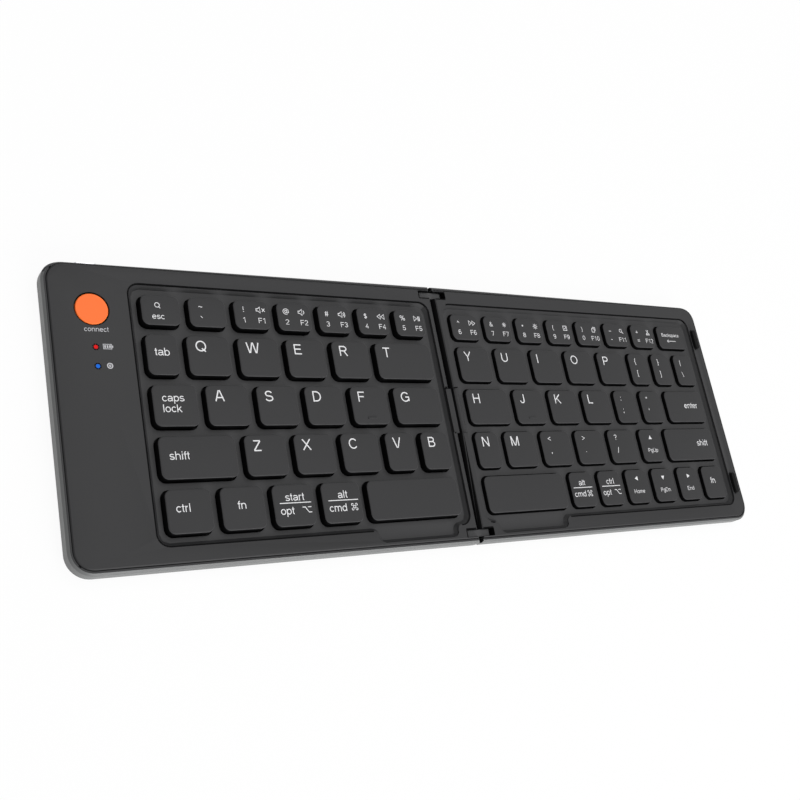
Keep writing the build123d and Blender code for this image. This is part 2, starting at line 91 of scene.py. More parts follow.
# ---------------------------------------------------------------- frame helpers
@dataclass(frozen=True)
class Box:
    """Axis-aligned box in the row frame."""

    low: Vector
    high: Vector

    @property
    def size(self) -> Vector:
        """Edge lengths."""
        return self.high - self.low

    @property
    def centre(self) -> Vector:
        """Middle point."""
        return (self.low + self.high) / 2


class Frame:
    """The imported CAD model, with what the looks ask of it."""

    def __init__(self) -> None:
        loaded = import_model()
        self.nodes: dict[str, bpy.types.Object] = loaded["nodes"]
        record = loaded["record"]
        bodies = record["behaviour"]["bodies"]
        self.body = {node: name for name, nodes in bodies.items() for node in nodes}
        self.slot = {part["node"]: part["material_slot"] for part in record["subparts"]}
        self.joint = {joint["child"]: joint for joint in record["behaviour"]["joints"]}

    def box(self, node: str) -> Box:
        """Bounds of one node.

        Args:
            node: CAD node's name.

        Returns:
            Its box at rest.
        """
        return Box(*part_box(node))

    def merged_mesh(self, node: str) -> bmesh.types.BMesh:
        """Copy of a node's mesh with the vertices of neighbouring faces joined.

        Args:
            node: CAD node's name.

        Returns:
            A new bmesh that the caller frees.
        """
        bm = bmesh.new()
        bm.from_mesh(self.nodes[node].data)
        bmesh.ops.remove_doubles(bm, verts=bm.verts, dist=0.5e-6)
        return bm

    def islands(self, node: str) -> list[Box]:
        """Bounds of each separate piece of a node, from left to right.

        Args:
            node: CAD node's name.

        Returns:
            One box per connected piece.
        """
        bm = self.merged_mesh(node)
        boxes, seen = [], set()
        for start in bm.verts:
            if start in seen:
                continue
            stack, found = [start], []
            seen.add(start)
            while stack:
                vert = stack.pop()
                found.append(vert.co)
                for edge in vert.link_edges:
                    other = edge.other_vert(vert)
                    if other not in seen:
                        seen.add(other)
                        stack.append(other)
            low = Vector(min(co[axis] for co in found) for axis in range(3))
            high = Vector(max(co[axis] for co in found) for axis in range(3))
            boxes.append(Box(low, high))
        bm.free()
        return sorted(boxes, key=lambda box: box.low.x)

    def stand_in(self, obj: bpy.types.Object, node: str) -> bpy.types.Object:
        """Shows obj in place of a node, on that node's body.

        Args:
            obj: Finished piece, in place.
            node: CAD node that it stands for.

        Returns:
            The same object.
        """
        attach(obj, self.body[node])
        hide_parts(node)
        return obj

    def add_to(self, obj: bpy.types.Object, node: str, slot: str | None = None) -> bpy.types.Object:
        """Adds obj to the body of a node, beside the node itself.

        Args:
            obj: Finished piece, in place.
            node: CAD node on whose body it rides.
            slot: Material slot, if not the node's own. Not used.

        Returns:
            The same object.
        """
        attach(obj, self.body[node])
        return obj


def new_object(name: str, mesh: bpy.types.Mesh) -> bpy.types.Object:
    """Links a mesh into the scene.

    Args:
        name: Object's name.
        mesh: Its mesh.

    Returns:
        The new object.
    """
    obj = bpy.data.objects.new(name, mesh)
    bpy.context.scene.collection.objects.link(obj)
    return obj


def applied(obj: bpy.types.Object) -> bpy.types.Object:
    """Replaces an object's mesh by its evaluated one and drops the modifiers.

    Args:
        obj: Object with modifiers.

    Returns:
        The same object, with a plain mesh.
    """
    bpy.context.view_layer.update()
    evaluated = obj.evaluated_get(bpy.context.evaluated_depsgraph_get())
    mesh = bpy.data.meshes.new_from_object(evaluated)
    obj.modifiers.clear()
    obj.data = mesh
    return obj


def mark_edges(mesh: bpy.types.Mesh, width: float) -> None:
    """Notes which faces belong to rounded edges, where the finish is drawn paler, partly from use and partly as a
    painted highlight.

    Args:
        mesh: Finished mesh.
        width: Faces narrower than this and turned upwards at a slant count as an edge.
    """
    marks = mesh.attributes.new(EDGE, "FLOAT", "FACE")
    for polygon in mesh.polygons:
        corners = [mesh.vertices[index].co for index in polygon.vertices]
        girth = sum((corner - corners[i - 1]).length for i, corner in enumerate(corners))
        narrow = 2 * polygon.area / max(girth, 1e-9) < width
        marks.data[polygon.index].value = float(narrow and 0.2 < polygon.normal.z < 0.98)


# ---------------------------------------------------------------- colours and finishes
def linear(colour: Sequence[int]) -> tuple[float, float, float, float]:
    """Scene-linear value of an sRGB colour.

    Args:
        colour: Red, green and blue from 0 to 255.

    Returns:
        Linear red, green, blue and an alpha of 1.
    """
    parts = [part / 255 for part in colour]
    red, green, blue = (p / 12.92 if p <= 0.04045 else ((p + 0.055) / 1.055) ** 2.4 for p in parts)
    return red, green, blue, 1.0


class Shader:
    """Small helper that adds nodes to one material's tree."""

    def __init__(self, name: str) -> None:
        self.material = bpy.data.materials.new(name)
        self.material.use_nodes = True
        self.tree = self.material.node_tree
        self.tree.nodes.clear()
        self.output = self.tree.nodes.new("ShaderNodeOutputMaterial")

    def node(self, kind: str, **inputs: object) -> bpy.types.Node:
        """Adds a node and sets its sockets.

        Args:
            kind: Blender node type.
            inputs: Socket values or source sockets, underscores for spaces.

        Returns:
            The node.
        """
        node = self.tree.nodes.new(kind)
        for name, value in inputs.items():
            socket = node.inputs[name.replace("_", " ")]
            if isinstance(value, bpy.types.NodeSocket):
                self.tree.links.new(value, socket)
            else:
                socket.default_value = value
        return node

    def place(self) -> bpy.types.NodeSocket:
        """Object coordinates, which stay with the piece as it moves."""
        return self.node("ShaderNodeTexCoord").outputs["Object"]

    def noise(self, size: float, detail: float = 3.0) -> bpy.types.NodeSocket:
        """Noise whose features are about size metres across."""
        made = self.node("ShaderNodeTexNoise", Vector=self.place(), Scale=1 / size, Detail=detail)
        return made.outputs["Fac"]

    def ramp(self, value: bpy.types.NodeSocket, low: float, high: float) -> bpy.types.NodeSocket:
        """Maps 0 to 1 onto low to high."""
        made = self.node("ShaderNodeMapRange", Value=value, To_Min=low, To_Max=high)
        return made.outputs["Result"]

    def mix(
        self,
        factor: bpy.types.NodeSocket,
        first: Sequence[float],
        second: Sequence[float],
    ) -> bpy.types.NodeSocket:
        """Blends two fixed colours by a factor."""
        made = self.tree.nodes.new("ShaderNodeMix")
        made.data_type = "RGBA"
        self.tree.links.new(factor, made.inputs[0])
        made.inputs[6].default_value = first
        made.inputs[7].default_value = second
        return made.outputs[2]

    def bump(self, height: bpy.types.NodeSocket, depth: float) -> bpy.types.NodeSocket:
        """Surface relief depth metres deep."""
        made = self.node("ShaderNodeBump", Height=height, Distance=depth, Strength=1.0)
        return made.outputs["Normal"]

    def finish(self, surface: bpy.types.Node) -> bpy.types.Material:
        """Joins the surface to the output."""
        self.tree.links.new(surface.outputs[0], self.output.inputs["Surface"])
        return self.material


def scaled(colour: Sequence[float], factor: float) -> tuple[float, float, float, float]:
    """A linear colour made lighter or darker."""
    return (*(min(part * factor, 1.0) for part in colour[:3]), 1.0)


@dataclass(frozen=True)
class MouldedPlastic:
    """Spark-eroded moulded plastic with paler upward edges, partly from use and partly a painted highlight."""

    name: str
    colour: tuple[int, int, int]
    roughness: float = 0.5
    grain: float = 0.35 * MM
    depth: float = 0.012 * MM
    wear_and_highlight: float = 0.25
    specular: float = 0.5

    def build(self) -> bpy.types.Material:
        """Makes the material.

        Returns:
            Material with grain, uneven sheen and paler edges, partly from use and partly a painted highlight.
        """
        shader = Shader(self.name)
        base = linear(self.colour)
        cloud = shader.noise(14 * MM)
        colour = shader.mix(cloud, scaled(base, 0.93), scaled(base, 1.07))
        # Upward rounded edges drawn paler: partly from use, partly a painted highlight.
        edge_mark = shader.tree.nodes.new("ShaderNodeAttribute")
        edge_mark.attribute_name = EDGE
        wear_and_highlight_mask = shader.node("ShaderNodeMath", Value=edge_mark.outputs["Fac"])
        wear_and_highlight_mask.operation = "MULTIPLY"
        shader.tree.links.new(shader.ramp(shader.noise(5 * MM), 0.0, self.wear_and_highlight * 2), wear_and_highlight_mask.inputs[1])
        made = shader.tree.nodes.new("ShaderNodeMix")
        made.data_type = "RGBA"
        shader.tree.links.new(wear_and_highlight_mask.outputs[0], made.inputs[0])
        shader.tree.links.new(colour, made.inputs[6])
        made.inputs[7].default_value = scaled(base, 1.9)
        grain = shader.noise(self.grain, detail=2.0)
        surface = shader.node(
            "ShaderNodeBsdfPrincipled",
            Base_Color=made.outputs[2],
            Roughness=shader.ramp(cloud, self.roughness - 0.05, self.roughness + 0.05),
            Normal=shader.bump(grain, self.depth),
            Specular_IOR_Level=self.specular,
        )
        return shader.finish(surface)


@dataclass(frozen=True)
class Rubber:
    """Soft rubber with a fine mould texture and a dusty bloom."""

    name: str
    colour: tuple[int, int, int]
    roughness: float = 0.8

    def build(self) -> bpy.types.Material:
        """Makes the material.

        Returns:
            Dull material with a slight sheen at grazing angles.
        """
        shader = Shader(self.name)
        base = linear(self.colour)
        dust = shader.noise(3 * MM)
        surface = shader.node(
            "ShaderNodeBsdfPrincipled",
            Base_Color=shader.mix(dust, base, scaled(base, 1.5)),
            Roughness=shader.ramp(dust, self.roughness - 0.08, self.roughness + 0.05),
            Normal=shader.bump(shader.noise(0.3 * MM), 0.015 * MM),
            Specular_IOR_Level=0.15,
        )
        return shader.finish(surface)


@dataclass(frozen=True)
class Metal:
    """Ground, rolled or plated metal with fine lines."""

    name: str
    colour: tuple[int, int, int]
    roughness: float = 0.3
    lines: float = 0.0

    def build(self) -> bpy.types.Material:
        """Makes the material.

        Returns:
            Metal whose roughness varies along its grinding lines.
        """
        shader = Shader(self.name)
        base = linear(self.colour)
        stretched = shader.node(
            "ShaderNodeMapping", Vector=shader.place(), Scale=(1.0, 1.0 + self.lines, 1.0)
        ).outputs["Vector"]
        lines = shader.node("ShaderNodeTexNoise", Vector=stretched, Scale=900.0, Detail=4.0).outputs["Fac"]
        surface = shader.node(
            "ShaderNodeBsdfPrincipled",
            Base_Color=shader.mix(lines, scaled(base, 0.9), scaled(base, 1.05)),
            Metallic=1.0,
            Roughness=shader.ramp(lines, self.roughness - 0.08, self.roughness + 0.1),
            Normal=shader.bump(lines, 0.004 * MM),
        )
        return shader.finish(surface)


@dataclass(frozen=True)
class LitPipe:
    """Clear light pipe with a small lamp behind it."""

    name: str
    colour: tuple[int, int, int]
    glow: float = 0.6

    def build(self) -> bpy.types.Material:
        """Makes the material.

        Returns:
            Glossy coloured plastic that glows a little, unevenly.
        """
        shader = Shader(self.name)
        base = linear(self.colour)
        core = shader.noise(0.8 * MM)
        surface = shader.node(
            "ShaderNodeBsdfPrincipled",
            Base_Color=shader.mix(core, scaled(base, 0.8), base),
            Roughness=shader.ramp(core, 0.2, 0.35),
            Specular_IOR_Level=0.1,
            Emission_Color=base,
            Emission_Strength=shader.ramp(core, self.glow * 0.8, self.glow * 1.2),
        )
        return shader.finish(surface)


@dataclass(frozen=True)
class PrintedInk:
    """Pad-printed legend ink, a little thin in places."""

    name: str
    colour: tuple[int, int, int]

    def build(self) -> bpy.types.Material:
        """Makes the material.

        Returns:
            Matt ink with slight mottling.
        """
        shader = Shader(self.name)
        base = linear(self.colour)
        mottle = shader.noise(0.5 * MM)
        surface = shader.node(
            "ShaderNodeBsdfPrincipled",
            Base_Color=shader.mix(mottle, scaled(base, 0.86), base),
            Roughness=shader.ramp(mottle, 0.5, 0.65),
            Normal=shader.bump(mottle, 0.004 * MM),
        )
        return shader.finish(surface)


FINISHES = {
    "cover": MouldedPlastic("bezel_plastic", (47, 47, 48), roughness=0.5, specular=0.2),
    "shell": MouldedPlastic(
        "shell_plastic", (95, 96, 96), roughness=0.4, grain=0.25 * MM, depth=0.02 * MM, specular=0.4
    ),
    "key_cap": MouldedPlastic("cap_plastic", (48, 48, 49), roughness=0.55, grain=0.3 * MM, wear_and_highlight=0.5, specular=0.2),
    "hinge_link_plastic": MouldedPlastic("link_plastic_black", (62, 62, 63), roughness=0.45, specular=0.25),
    "link_plastic": MouldedPlastic("link_plastic_grey", (30, 30, 31), roughness=0.45, wear_and_highlight=0.0),
    "switch_body": MouldedPlastic("switch_plastic", (40, 40, 42), roughness=0.4),
    "button_orange": MouldedPlastic("button_plastic", (254, 116, 50), roughness=0.42, wear_and_highlight=0.05, specular=0.2),
    "membrane_film": MouldedPlastic("membrane_film", (86, 92, 96), roughness=0.25, wear_and_highlight=0.0),
    "board_laminate": MouldedPlastic("board_laminate", (28, 92, 48), roughness=0.3, wear_and_highlight=0.0),
    "cable_film": MouldedPlastic("cable_film", (170, 104, 36), roughness=0.3, wear_and_highlight=0.0),
    "rubber": Rubber("black_rubber", (9, 9, 9)),
    "dome_rubber": Rubber("dome_silicone", (24, 24, 25), roughness=0.6),
    "plate_steel": Metal("plate_steel", (176, 178, 182), roughness=0.35, lines=20),
    "pin_steel": Metal("pin_steel", (190, 190, 192), roughness=0.22, lines=10),
    "socket_steel": Metal("socket_steel", (198, 198, 202), roughness=0.28, lines=6),
    "magnet_nickel": Metal("magnet_nickel", (205, 203, 198), roughness=0.12),
    "battery_foil": Metal("battery_foil", (196, 198, 200), roughness=0.4, lines=3),
    "light_red": LitPipe("light_pipe_red", (200, 0, 0), glow=0.3),
    "light_blue": LitPipe("light_pipe_blue", (2, 96, 200), glow=0.25),
}
# Painted shade: near-black side walls of the caps, for the shade that falls on them in the openings.
CAP_SIDE_SHADE = MouldedPlastic("cap_side_painted_shade", (8, 8, 9), roughness=0.7, wear_and_highlight=0.0, specular=0.05)
# Painted light: a paler copy of the cover's finish for the deck, lifting the shade of the well.
DECK_LIGHT_PAINT = MouldedPlastic("deck_painted_light", (57, 57, 58), roughness=0.5, wear_and_highlight=0.0, specular=0.2)
# Painted shade: near-black finish for steep walls, openings, the fold and the dark strips along wall edges.
SHADE_PAINT = MouldedPlastic("painted_shade_black", (8, 8, 9), roughness=0.7, wear_and_highlight=0.0, specular=0.05)
INK = PrintedInk("legend_ink", (230, 230, 232))
STRIP_INK = PrintedInk("strip_ink", (196, 196, 200))


# ---------------------------------------------------------------- plane outlines and lofts
def rounded_loop(width: float, length: float, radius: float, steps: int = 8) -> Loop:
    """Rounded rectangle about the origin, anticlockwise.

    Args:
        width: Size along X.
        length: Size along Y.
        radius: Corner radius.
        steps: Segments per corner.

    Returns:
        Its points.
    """
    loop: Loop = []
    for quarter, (x_sign, y_sign) in enumerate(((1, 1), (-1, 1), (-1, -1), (1, -1))):
        x, y = x_sign * (width / 2 - radius), y_sign * (length / 2 - radius)
        for step in range(steps + 1):
            turn = math.pi / 2 * (quarter + step / steps)
            loop.append((x + radius * math.cos(turn), y + radius * math.sin(turn)))
    return loop


@dataclass(frozen=True)
class Section:
    """One level of a lofted piece: how far its outline is drawn in, and its height."""

    inset: float
    height: float


def lofted(name: str, width: float, length: float, radius: float, sections: Sequence[Section]) -> bpy.types.Mesh:
    """Closed piece made of rounded rectangles joined level by level.

    Args:
        name: Mesh name.
        width: Outline's size along X.
        length: Outline's size along Y.
        radius: Outline's corner radius.
        sections: Levels in order, from one closing face to the other.

    Returns:
        Mesh about the origin with outward normals.
    """
    bm = bmesh.new()
    rings = []
    for section in sections:
        corner = max(radius - section.inset, 0.12 * MM)
        loop = rounded_loop(width - 2 * section.inset, length - 2 * section.inset, corner)
        rings.append([bm.verts.new((x, y, section.height)) for x, y in loop])
    for lower, upper in zip(rings, rings[1:]):
        count = len(lower)
        for i in range(count):
            j = (i + 1) % count
            bm.faces.new((lower[i], lower[j], upper[j], upper[i]))
    bm.faces.new(list(reversed(rings[0])))
    bm.faces.new(rings[-1])
    bmesh.ops.recalc_face_normals(bm, faces=bm.faces)
    mesh = bpy.data.meshes.new(name)
    bm.to_mesh(mesh)
    bm.free()
    for polygon in mesh.polygons:
        polygon.use_smooth = True
    mesh.set_sharp_from_angle(angle=math.radians(35))
    mark_edges(mesh, 0.3 * MM)
    return mesh


def edge_round(top: float, radius: float, steps: int = 4) -> list[Section]:
    """Levels of a rounded upper edge.

    Args:
        top: Height of the flat top.
        radius: Radius of the edge.
        steps: Segments of the round.

    Returns:
        Sections from the side wall to the top face.
    """
    return [
        Section(
            radius * (1 - math.cos(math.pi / 2 * step / steps)),
            top - radius + radius * math.sin(math.pi / 2 * step / steps),
        )
        for step in range(steps + 1)
    ]


# ---------------------------------------------------------------- repeated pieces
class Instancer:
    """Geometry Nodes group that puts copies of one piece on the points of a mesh."""

    def __init__(self) -> None:
        self.tree = bpy.data.node_groups.new("pieces_on_points", "GeometryNodeTree")
        face = self.tree.interface
        face.new_socket("Points", in_out="INPUT", socket_type="NodeSocketGeometry")
        self.piece = face.new_socket("Piece", in_out="INPUT", socket_type="NodeSocketObject").identifier
        self.finish = face.new_socket("Finish", in_out="INPUT", socket_type="NodeSocketMaterial").identifier
        self.side_finish = face.new_socket("Side", in_out="INPUT", socket_type="NodeSocketMaterial").identifier
        self.steepness = face.new_socket("Steepness", in_out="INPUT", socket_type="NodeSocketFloat").identifier
        face.new_socket("Pieces", in_out="OUTPUT", socket_type="NodeSocketGeometry")
        add = self.tree.nodes.new
        source, sink = add("NodeGroupInput"), add("NodeGroupOutput")
        info, instances = add("GeometryNodeObjectInfo"), add("GeometryNodeInstanceOnPoints")
        realised, painted = add("GeometryNodeRealizeInstances"), add("GeometryNodeSetMaterial")
        join = self.tree.links.new
        join(source.outputs["Points"], instances.inputs["Points"])
        join(source.outputs["Piece"], info.inputs["Object"])
        join(info.outputs["Geometry"], instances.inputs["Instance"])
        join(instances.outputs["Instances"], realised.inputs["Geometry"])
        join(realised.outputs["Geometry"], painted.inputs["Geometry"])
        join(source.outputs["Finish"], painted.inputs["Material"])
        normal, split = add("GeometryNodeInputNormal"), add("ShaderNodeSeparateXYZ")
        upright, sides = add("FunctionNodeCompare"), add("GeometryNodeSetMaterial")
        upright.data_type, upright.operation = "FLOAT", "LESS_THAN"
        join(normal.outputs["Normal"], split.inputs[0])
        join(split.outputs["Z"], upright.inputs[0])
        join(source.outputs["Steepness"], upright.inputs[1])
        join(painted.outputs["Geometry"], sides.inputs["Geometry"])
        join(upright.outputs[0], sides.inputs["Selection"])
        join(source.outputs["Side"], sides.inputs["Material"])
        join(sides.outputs["Geometry"], sink.inputs["Pieces"])

    def build(
        self,
        name: str,
        piece: bpy.types.Mesh,
        places: Iterable[Vector],
        finish: bpy.types.Material,
        side_finish: bpy.types.Material,
        steepness: float = 0.5,
    ) -> bpy.types.Object:
        """Puts a copy of the piece at each place.

        Args:
            name: Name of the object to make.
            piece: Mesh about the origin.
            places: Where the copies go.
            finish: Their material.
            side_finish: Material of the faces that look sideways or down.
            steepness: Upward part of a face's normal, below which it takes the side finish.

        Returns:
            One object with a plain mesh.
        """
        pattern = new_object(f"{name}_pattern", piece)
        points = bpy.data.meshes.new(name)
        points.from_pydata([tuple(place) for place in places], [], [])
        obj = new_object(name, points)
        modifier = obj.modifiers.new("copies", "NODES")
        modifier.node_group = self.tree
        modifier[self.piece] = pattern
        modifier[self.finish] = finish
        modifier[self.side_finish] = side_finish
        modifier[self.steepness] = steepness
        applied(obj)
        bpy.data.objects.remove(pattern)
        return obj


# ---------------------------------------------------------------- legends
class Icon(Enum):
    """Small marks of the function row and the modifier keys."""

    MUTE = "mute"
    QUIETER = "quieter"
    LOUDER = "louder"
    BACK = "back"
    PLAY = "play"
    FORWARD = "forward"
    DIMMER = "dimmer"
    BRIGHTER = "brighter"
    SEARCH = "search"
    SELECT = "select"
    COPY = "copy"
    CUT = "cut"
    HOME = "home"
    OPTION = "option"
    COMMAND = "command"
    BATTERY = "battery"
    WAVES = "waves"


@dataclass(frozen=True)
class Glyph:
    """A letter or sign as pen strokes, on a grid where a capital is ten units high.

    The path has steps M x,y to lift the pen, L x,y to draw a line, A with centre, radii and first
    and last angle to draw an arc, and Z to close the stroke.
    """

    advance: float
    path: str

    def strokes(self) -> list[tuple[Loop, bool]]:
        """The pen's lines.

        Returns:
            For each stroke its points, and whether it is closed.
        """
        found: list[tuple[Loop, bool]] = []
        line: Loop = []
        for step in self.path.split():
            numbers = [float(number) for number in step[1:].split(",") if number]
            if step[0] == "A":
                x, y, rx, ry, start, end = numbers
                count = max(4, round(abs(end - start) / 18))
                turns = [math.radians(start + (end - start) * i / count) for i in range(count + 1)]
                line += [(x + rx * math.cos(t), y + ry * math.sin(t)) for t in turns]
            elif step[0] == "L":
                line.append((numbers[0], numbers[1]))
            else:
                if line:
                    found.append((line[:-1] if step[0] == "Z" else line, step[0] == "Z"))
                line = [(numbers[0], numbers[1])] if numbers else []
        if line:
            found.append((line, False))
        return found


